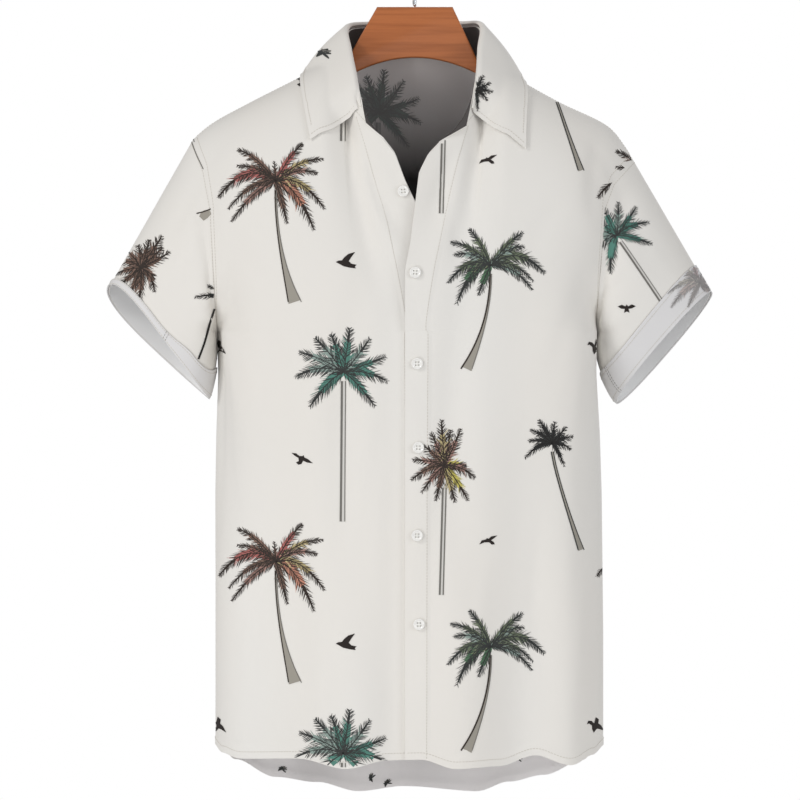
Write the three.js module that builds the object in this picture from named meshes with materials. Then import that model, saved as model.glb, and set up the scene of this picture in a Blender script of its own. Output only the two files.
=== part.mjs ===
// Short-sleeved hawaiian shirt on a wooden hanger, filled out as if worn, with no wearer.
// Millimetres, +Z up, front towards -Y. The origin is where the hook rests on its rail.
// The shirt's own left is towards +X. It buttons left over right.
import * as THREE from 'three';

// Cloth and seams
const CLOTH = 1.2;
const EDGE_CLOTH = 2;
const SEAM_INSET = 0.22;
const NECK_INSET = 1.1;
const STAND_TUCK = 2.4;
const UNDERARM_INSET = 1.4;
const LAY_GAP = 0.45;

// Torso: heights, depths and the width of the folded front edges
const UNDERARM_Z = -398;
const HEM_PROBE_Z = -820;
const BODY_LENGTH = 430;
const SECTION_STEPS = 72;
const FRONT_DEPTH = 104;
const BACK_DEPTH = 98;
const HEM_DEPTH_SHARE = 0.94;
const BOXY_POWER = 4.4;
const ROUND_POWER = 2.7;
const ROUNDING_DROP = 150;
const FRONT_BAND = 26;
const BAND_STEP = 1.4;
const OVERLAP_LIFT = 2.8;
const NECK_LIFT = 3.4;
const LIFT_FADE = 70;
const OVERLAP_FADE = 0.3;
const UNDER_EDGE_X = 14;
const TOP_EDGE_X = -10;

// Share of a panel's width that ends at the neck, and how deep the armhole bites
const NECK_SHARE = 0.25;
const ARMHOLE_BITE = 0.26;
const ARMHOLE_HALF_DEPTH = 62;
const ARMHOLE_ROUNDNESS = 0.9;
const SHOULDER_POWER = 0.8;
const FRONT_NECK_POWER = 2;
const BACK_NECK_POWER = 1.4;
const POWER_FADE = 0.36;
const NECK_SOFT_START = 1.6;
const SIDE_HOLD = 2.2;
const PULL_FADE = 0.35;
const EDGE_FADE = 0.09;
const POWER_FADE_CURVE = 1.5;

// Where folds die out: above the underarm in millimetres, and as shares near the side and the top
const FOLD_FADE = 120;
const SIDE_FADE = 0.12;
const TOP_FADE = 0.25;

// The neck seam of a side has five spans, three of them on the front
const FRONT_SPANS = 3;
const BACK_SPANS = 2;
const SEAM_SPANS = FRONT_SPANS + BACK_SPANS;

// Grid of a panel
const PANEL_WIDTH = 285;
const BACK_COLUMNS = [0, 0.045, 0.09, 0.13];
const NECK_COLUMNS = 3;
const SHOULDER_COLUMNS = 13;
const LOWER_ROWS = 12;
const UPPER_ROWS = 12;
const UPPER_ROW_BIAS = 1.25;
const SLEEVE_ROWS = 8;
const LEAF_ROWS = 8;
const STAND_ROWS = 2;
const CUFF_ROWS = 3;

// Collar leaf
const LEAF_START = 0.35;
const LEAF_ROLL_GAP = 3.2;
const LEAF_ROLL_HEIGHT = 4.8;
const LEAF_ROLL_WIDTH = 6;
const LEAF_ROLL_SHARES = [0.35, 0.62];
const LEAF_SHOULDER_SHARE = 0.5;
const LEAF_CROWN = 3;
const LEAF_CLEARANCE = 2.7;

// Sleeve ends
const CUFF_HALF_DEPTH = 44;
const CUFF_POWER = 2.4;
const CUFF_OVERHANG = 1.2;
const SLEEVE_SWELL = 6;
const UNDERARM_SPREAD = 7;
const UNDERARM_REACH = 34;
const SPREAD_POWER = 0.6;
const TILT_SIDEWAYS = [0.15, 0.57];
const TILT_UP = [1, 0.82];

// Buttons
const BUTTON_SIDES = 16;
const BUTTON_PROFILE = [[0, 0], [5.1, 0], [5.75, 0.6], [5.75, 1.7], [5.2, 2.4], [4.3, 2.4], [3.6, 1.9], [0, 1.9]];

// Hanger
const WOOD_TOP_Z = -70.6;
const WOOD_TOP_HALF = 38;
const WOOD_THICKNESS = 13;
const WOOD_BEVEL_IN = 1.5;
const WOOD_BEVEL_DEEP = 3.4;
const WOOD_ARCH_APEX_Z = -121.6;
const WOOD_ARCH_HALF = 61;
const WOOD_ARCH_Z = -137;
const WOOD_ARCH_STEPS = 8;
const ARM_END_DEPTH = 17;
const ARM_NECK_DEPTH = 26;
const ARM_NECK_FADE = 0.12;
const ARM_NECK_WIDTH = 0.93;
const ARM_END_START = 0.62;
const ARM_END_FADE = 0.2;
const ARM_SKIPPED_POINTS = 2;
const ARM_END_SHARE = 0.86;
const ARM_GAP = 0.8;
const NECK_DROP = 6;
const END_DROP = 2;
const HOOK_INNER_RADIUS = 24;
const HOOK_WIRE_RADIUS = 2;
const HOOK_START_DEGREES = -62;
const HOOK_END_DEGREES = 202;
const HOOK_SIDES = 8;
const HOOK_STEPS = 30;
const HOOK_ARCS = 14;
const HOOK_STEM = 8;

// Side edges of the torso, seen from the front
const TORSO_EDGES = [
  { z: -398, left: -199, right: 182 },
  { z: -440, left: -197.5, right: 181.5 },
  { z: -500, left: -199.5, right: 185.5 },
  { z: -560, left: -200.5, right: 187.5 },
  { z: -700, left: -200, right: 189 },
  { z: -880, left: -200, right: 189 },
];

// Hems, from the right side seam across to the left one
const FRONT_HEM = [
  { x: -200, z: -811 }, { x: -190, z: -818 }, { x: -172, z: -823 }, { x: -115, z: -822 },
  { x: -68, z: -831 }, { x: -28, z: -823 }, { x: 6, z: -822 }, { x: 40, z: -831 },
  { x: 84, z: -829 }, { x: 122, z: -819 }, { x: 152, z: -829 }, { x: 176, z: -820 }, { x: 189, z: -812 },
];
const BACK_HEM = [
  { x: -200, z: -811 }, { x: -180, z: -831 }, { x: -143, z: -850 }, { x: -100, z: -856 },
  { x: -58, z: -866 }, { x: -12, z: -860 }, { x: 62, z: -866 }, { x: 98, z: -855 },
  { x: 132, z: -848 }, { x: 168, z: -832 }, { x: 189, z: -812 },
];

// Long soft folds: where each lies, its half width, and how far it stands out at the chest and at the hem
const FRONT_FOLDS = [
  { x: -178, width: 17, chest: 1, hem: 4 },
  { x: -136, width: 30, chest: -2, hem: -9 },
  { x: -64, width: 30, chest: 2.5, hem: 8 },
  { x: -22, width: 16, chest: -1, hem: -3 },
  { x: 46, width: 27, chest: 2, hem: 7 },
  { x: 108, width: 29, chest: -3, hem: -9 },
  { x: 152, width: 18, chest: 1, hem: 6 },
];
const BACK_FOLDS = [
  { x: -166, width: 22, chest: 1, hem: 4 },
  { x: -124, width: 24, chest: -2, hem: -7 },
  { x: -70, width: 28, chest: 2, hem: 8 },
  { x: -14, width: 26, chest: -2.5, hem: -8 },
  { x: 48, width: 26, chest: 2, hem: 7 },
  { x: 104, width: 26, chest: -2, hem: -8 },
  { x: 150, width: 20, chest: 1, hem: 5 },
];

// Soft rolls of the open front, running from the neck down to the placket
const NECK_ROLLS = [
  { topX: -62, topZ: -195, lowX: -14, lowZ: -335, width: 15, height: 6 },
  { topX: 60, topZ: -200, lowX: 22, lowZ: -330, width: 15, height: 4 },
];

// Each side of the shirt. Neck seam, roll line and leaf edge run from the front to the centre back.
const RIGHT_SIDE = {
  side: -1,
  seam: [[-32, -86, -206], [-59, -71, -181], [-73, -38, -152], [-76, 0, -120], [-52, 42, -116], [0, 55, -115]],
  roll: [[-49, -81, -191], [-57, -61, -152], [-64, -31, -119], [-67, 4, -95], [-47, 37, -89], [0, 49, -88]],
  leafEdge: [[-103, -76, -210], [-107, -58, -183], [-110, -28, -154], [-111, 6, -134], [-74, 60, -131], [0, 70, -131]],
  shoulder: [[-76, 0, -120], [-112, 0, -140], [-164, 0, -167], [-203, 0, -188], [-223, 0, -204]],
  armhole: [{ z: -398, x: -199 }, { z: -340, x: -200.5 }, { z: -275, x: -203 }, { z: -236, x: -210 }, { z: -204, x: -223 }],
  cuff: { top: [-307, -352], bottom: [-208, -463], topTilt: 16, bottomTilt: 3, topBand: 6, bottomBand: 33 },
};
const LEFT_SIDE = {
  side: 1,
  seam: [[24, -88, -210], [53, -73, -191], [70, -40, -158], [72, 0, -125], [50, 42, -117], [0, 55, -115]],
  roll: [[51, -82, -194], [60, -62, -150], [63, -31, -118], [65, 4, -92], [46, 37, -88.5], [0, 49, -88]],
  leafEdge: [[109, -78, -218], [108, -58, -188], [108, -28, -159], [107, 6, -139], [72, 60, -132], [0, 70, -131]],
  shoulder: [[72, 0, -125], [109, 0, -147], [145, 0, -167], [194, 0, -191], [208, 0, -207], [219, 0, -224]],
  armhole: [{ z: -398, x: 182 }, { z: -340, x: 184 }, { z: -270, x: 189 }, { z: -248, x: 197 }, { z: -224, x: 219 }],
  cuff: { top: [297, -358], bottom: [203, -466], topTilt: 8, bottomTilt: 10, topBand: 30, bottomBand: 31 },
};

// Free front edges above the chest, from the closed part up to the neck
const UNDER_EDGE = [
  { z: -398, x: 14 }, { z: -305, x: 14 }, { z: -287, x: 9 }, { z: -269, x: 0 },
  { z: -248, x: -10 }, { z: -221, x: -20 }, { z: -206, x: -32 },
];
const TOP_EDGE = [
  { z: -398, x: -10 }, { z: -336, x: -10 }, { z: -312, x: -5 }, { z: -273, x: 0 },
  { z: -240, x: 4 }, { z: -222, x: 13 }, { z: -210, x: 24 },
];

// Buttons, seen from the front
const OPEN_BUTTON = { x: -11.5, z: -259 };
const CLOSED_BUTTONS = [
  { x: 0, z: -340 }, { x: 2, z: -430 }, { x: 3, z: -513 }, { x: 2, z: -600 }, { x: 4, z: -688 },
];

// Finishes
const SHELL = { color: 0xeae6df, roughness: 0.85, metalness: 0 };
const WOOD = { color: 0xb5622f, roughness: 0.45, metalness: 0 };
const BUTTON_WHITE = { color: 0xf4f2ee, roughness: 0.3, metalness: 0 };
const STEEL = { color: 0xb9bcc0, roughness: 0.25, metalness: 1 };

const vec = (x, y, z) => new THREE.Vector3(x, y, z);
const mix = (a, b, t) => a + (b - a) * t;
const clamp01 = (t) => Math.min(1, Math.max(0, t));

function ease(t) {
  const k = clamp01(t);
  return k * k * (3 - 2 * k);
}

// Reads a table whose rows are sorted by one column, with an eased or straight step between rows
function lookUp(rows, key, column, at, eased = false) {
  const rising = rows[rows.length - 1][key] > rows[0][key];
  for (let i = 0; i < rows.length - 1; i += 1) {
    const a = rows[i];
    const b = rows[i + 1];
    const inside = rising ? at <= b[key] : at >= b[key];
    if (inside || i === rows.length - 2) {
      const t = clamp01((at - a[key]) / (b[key] - a[key]));
      return mix(a[column], b[column], eased ? ease(t) : t);
    }
  }
  return rows[0][column];
}

const curveThrough = (points) => new THREE.CatmullRomCurve3(points.map((p) => vec(...p)), false, 'centripetal');

function alongLine(points, share) {
  const lengths = [0];
  for (let i = 1; i < points.length; i += 1) {
    lengths.push(lengths[i - 1] + points[i].distanceTo(points[i - 1]));
  }
  const wanted = share * lengths[lengths.length - 1];
  let i = 1;
  while (i < points.length - 1 && lengths[i] < wanted) i += 1;
  const t = (wanted - lengths[i - 1]) / (lengths[i] - lengths[i - 1]);
  return points[i - 1].clone().lerp(points[i], t);
}

// Torso section at a height: a superellipse, boxy at the underarm and rounder below
function torsoSection(z, face) {
  const left = lookUp(TORSO_EDGES, 'z', 'left', z);
  const right = lookUp(TORSO_EDGES, 'z', 'right', z);
  const below = UNDERARM_Z - z;
  const depth = (face < 0 ? FRONT_DEPTH : BACK_DEPTH) * mix(1, HEM_DEPTH_SHARE, ease(below / BODY_LENGTH));
  const power = mix(BOXY_POWER, ROUND_POWER, ease(below / ROUNDING_DROP));
  return { centre: (left + right) / 2, half: (right - left) / 2, depth, power, face };
}

function sectionPoint(section, angle, z) {
  const c = Math.cos(angle);
  const s = Math.sin(angle);
  const x = section.centre + section.half * Math.sign(c) * Math.abs(c) ** (2 / section.power);
  const y = section.face * section.depth * Math.abs(s) ** (2 / section.power);
  return vec(x, y, z);
}

// Line of a half section, from a given x near the middle round to the side seam
function halfSection(z, face, side, startX) {
  const section = torsoSection(z, face);
  const points = [];
  for (let i = 0; i <= SECTION_STEPS; i += 1) {
    const turn = i / SECTION_STEPS;
    const angle = Math.PI * (side > 0 ? 1 - turn : turn);
    points.push(sectionPoint(section, angle, z));
  }
  const first = points.findIndex((p) => (p.x - startX) * side > 0);
  const a = points[first - 1];
  const b = points[first];
  const start = a.clone().lerp(b, (startX - a.x) / (b.x - a.x));
  return [start, ...points.slice(first)];
}

function outwardOf(point, face) {
  const section = torsoSection(Math.min(point.z, UNDERARM_Z), face);
  const u = (point.x - section.centre) / section.half;
  const v = point.y / section.depth;
  const k = section.power - 1;
  const nx = Math.sign(u) * Math.min(1, Math.abs(u)) ** k / section.half;
  const ny = face * Math.min(1, Math.abs(v)) ** k / section.depth;
  return vec(nx, ny, 0).normalize();
}

function foldHeight(point, face) {
  const folds = face < 0 ? FRONT_FOLDS : BACK_FOLDS;
  const down = ease((UNDERARM_Z - point.z) / BODY_LENGTH);
  const fade = point.z > UNDERARM_Z ? ease(1 - (point.z - UNDERARM_Z) / FOLD_FADE) : 1;
  let height = 0;
  for (const fold of folds) {
    const reach = (point.x - fold.x) / fold.width;
    height += mix(fold.chest, fold.hem, down) * Math.exp(-reach * reach);
  }
  return height * fade;
}

function rollHeight(point) {
  let height = 0;
  for (const roll of NECK_ROLLS) {
    const t = (point.z - roll.topZ) / (roll.lowZ - roll.topZ);
    const across = (point.x - mix(roll.topX, roll.lowX, t)) / roll.width;
    const along = Math.sin(Math.PI * clamp01(t));
    height += roll.height * along * Math.exp(-across * across);
  }
  return height;
}

// Panels. A point is found from its share of the width (0 at the middle, 1 at the side) and its
// height (0 at the hem, 1 at the underarm, 2 at the neck and shoulder).
function panelShape(sizes, face) {
  const seam = curveThrough(sizes.seam);
  const shoulder = curveThrough(sizes.shoulder);
  const isFront = face < 0;
  const edgeTable = sizes.side < 0 ? UNDER_EDGE : TOP_EDGE;
  const startX = (z) => {
    if (isFront) return sizes.side < 0 ? UNDER_EDGE_X : TOP_EDGE_X;
    return torsoSection(z, face).centre;
  };
  const topPoint = (share) => {
    if (share >= NECK_SHARE) return shoulder.getPointAt(clamp01((share - NECK_SHARE) / (1 - NECK_SHARE)));
    const k = share / NECK_SHARE;
    return seam.getPoint((isFront ? FRONT_SPANS * k : SEAM_SPANS - BACK_SPANS * k) / SEAM_SPANS);
  };
  return { sizes, face, isFront, edgeTable, startX, topPoint };
}

function lowerPoint(shape, share, height) {
  const side = shape.sizes.side;
  const atHem = alongLine(halfSection(HEM_PROBE_Z, shape.face, side, shape.startX(HEM_PROBE_Z)), share);
  const hemZ = lookUp(shape.isFront ? FRONT_HEM : BACK_HEM, 'x', 'z', atHem.x, true);
  const z = mix(hemZ, UNDERARM_Z, height);
  return alongLine(halfSection(z, shape.face, side, shape.startX(z)), share);
}

// How far across a point has moved from its place at the chest to its place at the neck or shoulder
function neckPull(shape, share, up, rise) {
  const outer = mix(up, rise ** SIDE_HOLD, ease((share - NECK_SHARE) / PULL_FADE));
  if (!shape.isFront) return outer;
  const table = shape.edgeTable;
  const end = table[table.length - 1];
  const z = mix(UNDERARM_Z, end.z, up);
  const edge = (lookUp(table, 'z', 'x', z) - table[0].x) / (end.x - table[0].x);
  return mix(edge, outer, ease(share / EDGE_FADE));
}

function upperPoint(shape, share, rise) {
  const side = shape.sizes.side;
  const base = alongLine(halfSection(UNDERARM_Z, shape.face, side, shape.startX(UNDERARM_Z)), share);
  const top = shape.topPoint(share);
  const neckPower = shape.isFront ? FRONT_NECK_POWER : BACK_NECK_POWER;
  const power = mix(neckPower, SHOULDER_POWER, ease(share / POWER_FADE) ** POWER_FADE_CURVE);
  const turn = (rise * Math.PI) / 2;
  const softStart = mix(NECK_SOFT_START, 1, ease(share / POWER_FADE));
  const out = rise >= 1 ? 0 : 1 - (1 - Math.cos(turn) ** power) ** softStart;
  const up = rise >= 1 ? 1 : Math.sin(turn) ** power;
  const z = mix(UNDERARM_Z, top.z, up);
  const pull = neckPull(shape, share, up, rise);
  return vec(mix(base.x, top.x, pull), mix(top.y, base.y, out), z);
}

// The armhole is an oval that leans in over the shoulder
function armholePoint(shape, rise) {
  const { armhole } = shape.sizes;
  const tipZ = armhole[armhole.length - 1].z;
  const z = mix(UNDERARM_Z, tipZ, (1 - Math.cos(Math.PI * rise)) / 2);
  const round = Math.max(0, Math.sin(Math.PI * rise)) ** ARMHOLE_ROUNDNESS;
  return vec(lookUp(armhole, 'z', 'x', z), shape.face * ARMHOLE_HALF_DEPTH * (rise >= 1 ? 0 : round), z);
}

function armholeShare(rise) {
  return 1 - ARMHOLE_BITE * Math.sqrt(Math.max(0, Math.sin(Math.PI * clamp01(rise)) * (1 - rise)));
}

function chestPoint(shape, column, rise) {
  const share = armholeShare(rise);
  const point = upperPoint(shape, column * share, rise);
  const step = armholePoint(shape, rise).sub(upperPoint(shape, share, rise));
  return point.addScaledVector(step, column ** 3);
}

function panelPoint(shape, column, height) {
  const rise = Math.max(0, height - 1);
  const point = height <= 1 ? lowerPoint(shape, column, height) : chestPoint(shape, column, rise);
  const toSide = ease((1 - column) / SIDE_FADE);
  const toTop = ease((1 - rise) / TOP_FADE);
  const lift = foldHeight(point, shape.face) * toSide * toTop;
  point.addScaledVector(outwardOf(point, shape.face), lift);
  if (shape.isFront) {
    point.y -= rollHeight(point) * toTop;
    const overlapLift = OVERLAP_LIFT + NECK_LIFT * ease(rise / OVERLAP_FADE);
    const held = ease((1 - rise) / OVERLAP_FADE);
    if (shape.sizes.side > 0) point.y -= overlapLift * overlapFade(point.x) * held;
  }
  return point;
}

function overlapFade(x) {
  return ease(1 - (x - UNDER_EDGE_X) / LIFT_FADE);
}

// Column positions of a panel: closer together along the folded front edge
function panelColumns(isFront) {
  const band = [0, FRONT_BAND / 2, FRONT_BAND, FRONT_BAND + BAND_STEP].map((width) => width / PANEL_WIDTH);
  const columns = [...(isFront ? band : BACK_COLUMNS)];
  const from = columns[columns.length - 1];
  for (let i = 1; i <= NECK_COLUMNS; i += 1) columns.push(mix(from, NECK_SHARE, i / NECK_COLUMNS));
  for (let i = 1; i <= SHOULDER_COLUMNS; i += 1) columns.push(mix(NECK_SHARE, 1, i / SHOULDER_COLUMNS));
  return columns;
}

function panelHeights() {
  const heights = [];
  for (let i = 0; i <= LOWER_ROWS; i += 1) heights.push(i / LOWER_ROWS);
  for (let i = 1; i <= UPPER_ROWS; i += 1) heights.push(1 + (i / UPPER_ROWS) ** UPPER_ROW_BIAS);
  return heights;
}

// A grid is rows of points, with a normal and a wall thickness at each
function makeGrid(rows, closed = false) {
  const normals = rows.map((row, r) => row.map((point, c) => {
    const last = row.length - 1;
    const before = closed ? row[(c + last) % row.length] : row[Math.max(0, c - 1)];
    const after = closed ? row[(c + 1) % row.length] : row[Math.min(last, c + 1)];
    const lower = rows[Math.max(0, r - 1)][c];
    const upper = rows[Math.min(rows.length - 1, r + 1)][c];
    const across = after.clone().sub(before);
    return across.cross(upper.clone().sub(lower)).normalize();
  }));
  const walls = rows.map((row) => row.map(() => CLOTH));
  return { rows, normals, walls, closed };
}

const pointKey = (p) => `${p.x.toFixed(3)} ${p.y.toFixed(3)} ${p.z.toFixed(3)}`;

// Where pieces meet at a seam they share one normal, so that their edges are mitred
function shareNormals(grids) {
  const sums = new Map();
  const each = (visit) => grids.forEach((grid) => grid.rows.forEach((row, r) => row.forEach((point, c) => {
    const key = pointKey(point);
    visit(key, grid, r, c);
  })));
  each((key, grid, r, c) => {
    const sum = sums.get(key) ?? vec(0, 0, 0);
    sums.set(key, sum.add(grid.normals[r][c]));
  });
  each((key, grid, r, c) => grid.normals[r][c].copy(sums.get(key)).normalize());
}

// Draws the named edges of a grid in by the given lengths, so that two pieces stay apart at their seam
function insetEdges(grid, edges) {
  const { rows } = grid;
  const lastRow = rows.length - 1;
  const lastColumn = rows[0].length - 1;
  const moves = [];
  const pull = (length, r, c, r2, c2) => {
    const step = rows[r2][c2].clone().sub(rows[r][c]);
    moves.push([rows[r][c], step.setLength(Math.min(length, step.length() / 3))]);
  };
  rows.forEach((row, r) => {
    if (edges.first) pull(edges.first, r, 0, r, 1);
    if (edges.last) pull(edges.last, r, lastColumn, r, lastColumn - 1);
  });
  rows[0].forEach((_, c) => {
    if (edges.bottom) pull(edges.bottom, 0, c, 1, c);
    if (edges.top) pull(edges.top, lastRow, c, lastRow - 1, c);
  });
  moves.forEach(([point, step]) => point.add(step));
}

// At the underarm the sleeve turns back down beside the body, so its first ring stands a wall away
function clearUnderarm(sizes, sleeve) {
  for (const point of sleeve.rows[0]) {
    const low = ease((UNDERARM_Z + UNDERARM_REACH - point.z) / UNDERARM_REACH);
    point.x += sizes.side * UNDERARM_INSET * low;
  }
}

// Turns a grid into a closed wall, half of its thickness on each side of the grid
function wallGeometry(grid) {
  const { rows, normals, walls, closed } = grid;
  const across = rows[0].length;
  const down = rows.length;
  const positions = [];
  for (const sign of [1, -1]) {
    rows.forEach((row, r) => row.forEach((point, c) => {
      const moved = point.clone().addScaledVector(normals[r][c], (sign * walls[r][c]) / 2);
      positions.push(moved.x, moved.y, moved.z);
    }));
  }
  const index = [];
  const inner = across * down;
  const at = (r, c) => r * across + (c % across);
  const quad = (a, b, c, d) => index.push(a, b, c, a, c, d);
  const columnSteps = closed ? across : across - 1;
  for (let r = 0; r < down - 1; r += 1) {
    for (let c = 0; c < columnSteps; c += 1) {
      quad(at(r, c), at(r, c + 1), at(r + 1, c + 1), at(r + 1, c));
      quad(inner + at(r, c), inner + at(r + 1, c), inner + at(r + 1, c + 1), inner + at(r, c + 1));
    }
  }
  for (let c = 0; c < columnSteps; c += 1) {
    const top = down - 1;
    quad(at(0, c), inner + at(0, c), inner + at(0, c + 1), at(0, c + 1));
    quad(at(top, c), at(top, c + 1), inner + at(top, c + 1), inner + at(top, c));
  }
  if (!closed) {
    for (let r = 0; r < down - 1; r += 1) {
      const end = across - 1;
      quad(at(r, 0), at(r + 1, 0), inner + at(r + 1, 0), inner + at(r, 0));
      quad(at(r, end), inner + at(r, end), inner + at(r + 1, end), at(r + 1, end));
    }
  }
  const geometry = new THREE.BufferGeometry();
  geometry.setAttribute('position', new THREE.Float32BufferAttribute(positions, 3));
  geometry.setIndex(index);
  geometry.computeVertexNormals();
  return geometry;
}

// Rows always run so that the normals point out of the shirt
function panelGrid(shape, columns, heights) {
  const ordered = shape.sizes.side * shape.face > 0 ? [...columns].reverse() : columns;
  return makeGrid(heights.map((height) => ordered.map((column) => panelPoint(shape, column, height))));
}

function frontGrid(sizes) {
  const shape = panelShape(sizes, -1);
  const columns = panelColumns(true);
  const grid = panelGrid(shape, columns, panelHeights());
  const count = columns.length - 1;
  grid.walls.forEach((row) => row.forEach((_, c) => {
    const fromEdge = sizes.side < 0 ? count - c : c;
    if (fromEdge <= 2) row[c] = EDGE_CLOTH;
  }));
  return grid;
}

function backGrid() {
  const columns = panelColumns(false);
  const heights = panelHeights();
  const right = panelShape(RIGHT_SIDE, 1);
  const left = panelShape(LEFT_SIDE, 1);
  const rows = heights.map((height) => {
    const leftHalf = [...columns].reverse().map((column) => panelPoint(left, column, height));
    const rightHalf = columns.slice(1).map((column) => panelPoint(right, column, height));
    return [...leftHalf, ...rightHalf];
  });
  return makeGrid(rows);
}

// Sleeves start at the points of the armhole, round from the underarm over the front
function armholeRing(sizes) {
  const heights = panelHeights().filter((height) => height >= 1);
  const front = panelShape(sizes, -1);
  const back = panelShape(sizes, 1);
  const frontHalf = heights.map((height) => panelPoint(front, 1, height));
  const backHalf = heights.slice(1, -1).reverse().map((height) => panelPoint(back, 1, height));
  return [...frontHalf, ...backHalf];
}

function ringShares(ring, topIndex) {
  const half = (from, to) => {
    const lengths = [0];
    for (let i = from; i < to; i += 1) {
      lengths.push(lengths[lengths.length - 1] + ring[(i + 1) % ring.length].distanceTo(ring[i]));
    }
    return lengths.map((length) => length / lengths[lengths.length - 1]);
  };
  const up = half(0, topIndex);
  const down = half(topIndex, ring.length);
  return [...up, ...down.slice(1, -1).map((share) => 1 + share)];
}

function cuffPoint(sizes, share) {
  const { top, bottom, topTilt, bottomTilt } = sizes.cuff;
  const angle = share * Math.PI;
  const up = (1 - Math.sign(Math.cos(angle)) * Math.abs(Math.cos(angle)) ** (2 / CUFF_POWER)) / 2;
  const sideways = Math.sign(Math.sin(angle)) * Math.abs(Math.sin(angle)) ** (2 / CUFF_POWER);
  const tilt = mix(bottomTilt, topTilt, up) * sideways;
  const along = vec(-sizes.side * mix(...TILT_SIDEWAYS, up), 0, mix(...TILT_UP, up));
  const point = vec(mix(bottom[0], top[0], up), -CUFF_HALF_DEPTH * sideways, mix(bottom[1], top[1], up));
  return point.addScaledVector(along, tilt);
}

function sleeveRows(sizes, steps) {
  const ring = armholeRing(sizes);
  const shares = ringShares(ring, UPPER_ROWS);
  return steps.map((step) => ring.map((start, i) => {
    const end = cuffPoint(sizes, shares[i]);
    const point = start.clone().lerp(end, step);
    const low = ease((1 + Math.cos(shares[i] * Math.PI)) / 2);
    const bulge = Math.sin(Math.PI * step);
    point.x += sizes.side * low * UNDERARM_SPREAD * Math.max(0, bulge) ** SPREAD_POWER;
    point.y -= Math.sin(shares[i] * Math.PI) * SLEEVE_SWELL * bulge;
    return point;
  }));
}

// Rings run so that the normals point out of the sleeve
function orientRings(sizes, rows) {
  return makeGrid(sizes.side < 0 ? rows : rows.map((row) => [row[0], ...row.slice(1).reverse()]), true);
}

function sleeveGrid(sizes) {
  const steps = Array.from({ length: SLEEVE_ROWS + 1 }, (_, i) => i / SLEEVE_ROWS);
  return orientRings(sizes, sleeveRows(sizes, steps));
}

// Point and normal of a sleeve at a distance from its open end
function upTheSleeve(sleeve, c, distance) {
  let left = distance;
  for (let r = sleeve.rows.length - 1; r > 0; r -= 1) {
    const a = sleeve.rows[r][c];
    const b = sleeve.rows[r - 1][c];
    const step = a.distanceTo(b);
    if (left <= step || r === 1) {
      const t = left / step;
      const normal = sleeve.normals[r][c].clone().lerp(sleeve.normals[r - 1][c], t).normalize();
      return { point: a.clone().lerp(b, t), normal };
    }
    left -= step;
  }
  throw new Error('longer than the sleeve');
}

// The turned-up cuff lies on the end of the sleeve
function cuffGrid(sizes) {
  const sleeve = sleeveGrid(sizes);
  const last = sleeve.rows.length - 1;
  const count = sleeve.rows[0].length;
  const rows = [];
  for (let r = 0; r <= CUFF_ROWS; r += 1) {
    rows.push(sleeve.rows[last].map((end, c) => {
      const share = Math.abs(1 - (2 * c) / count);
      const band = mix(sizes.cuff.topBand, sizes.cuff.bottomBand, ease(share));
      const { point, normal } = upTheSleeve(sleeve, c, mix(band, -CUFF_OVERHANG, r / CUFF_ROWS));
      return point.addScaledVector(normal, CLOTH + LAY_GAP);
    }));
  }
  return makeGrid(rows, true);
}

// Collar: the stand rises from the neck seam, and the leaf turns over it
function neckShares() {
  const front = panelColumns(true).filter((column) => column <= NECK_SHARE + 1e-9);
  const back = panelColumns(false).filter((column) => column <= NECK_SHARE + 1e-9).reverse();
  const frontPart = front.map((column) => (FRONT_SPANS * column) / NECK_SHARE / SEAM_SPANS);
  const backPart = back.slice(1).map((column) => (SEAM_SPANS - (BACK_SPANS * column) / NECK_SHARE) / SEAM_SPANS);
  return [...frontPart, ...backPart];
}

function collarLine(name, shares) {
  const right = curveThrough(RIGHT_SIDE[name]);
  const left = curveThrough(LEFT_SIDE[name]);
  const rightHalf = shares.map((share) => right.getPoint(share));
  const leftHalf = shares.slice(0, -1).reverse().map((share) => left.getPoint(share));
  return [...rightHalf, ...leftHalf];
}

function standGrid() {
  const shares = neckShares();
  const seam = collarLine('seam', shares);
  const roll = collarLine('roll', shares);
  const rows = [];
  for (let r = 0; r <= STAND_ROWS; r += 1) {
    rows.push(seam.map((point, c) => point.clone().lerp(roll[c], r / STAND_ROWS)).reverse());
  }
  return makeGrid(rows);
}

function leafGrid(stand, restingGrids) {
  const shares = neckShares();
  const spread = shares.map((share) => mix(LEAF_START / SEAM_SPANS, 1, share));
  const seam = collarLine('seam', spread).reverse();
  const roll = collarLine('roll', spread).reverse();
  const edge = collarLine('leafEdge', shares).reverse();
  const rows = Array.from({ length: LEAF_ROWS + 3 }, () => []);
  roll.forEach((start, c) => {
    const up = start.clone().sub(seam[c]).normalize();
    const out = nearestOn([stand], start, (a, b) => a.distanceTo(b)).normal;
    const place = (rise, aside) => start.clone().addScaledVector(up, rise).addScaledVector(out, aside);
    rows[0].push(place(LEAF_ROLL_GAP, CLOTH / 2));
    rows[1].push(place(LEAF_ROLL_HEIGHT, LEAF_ROLL_WIDTH * LEAF_ROLL_SHARES[0]));
    rows[2].push(place(LEAF_ROLL_HEIGHT, LEAF_ROLL_WIDTH * LEAF_ROLL_SHARES[1]));
    const shoulder = place(LEAF_ROLL_HEIGHT * LEAF_SHOULDER_SHARE, LEAF_ROLL_WIDTH);
    for (let r = 0; r < LEAF_ROWS; r += 1) {
      const t = r / (LEAF_ROWS - 1);
      const point = shoulder.clone().lerp(edge[c], t);
      point.addScaledVector(out, LEAF_CROWN * Math.sin(Math.PI * t));
      rows[3 + r].push(keepOff(point, restingGrids, LEAF_CLEARANCE));
    }
  });
  return makeGrid(rows.reverse());
}

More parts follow.
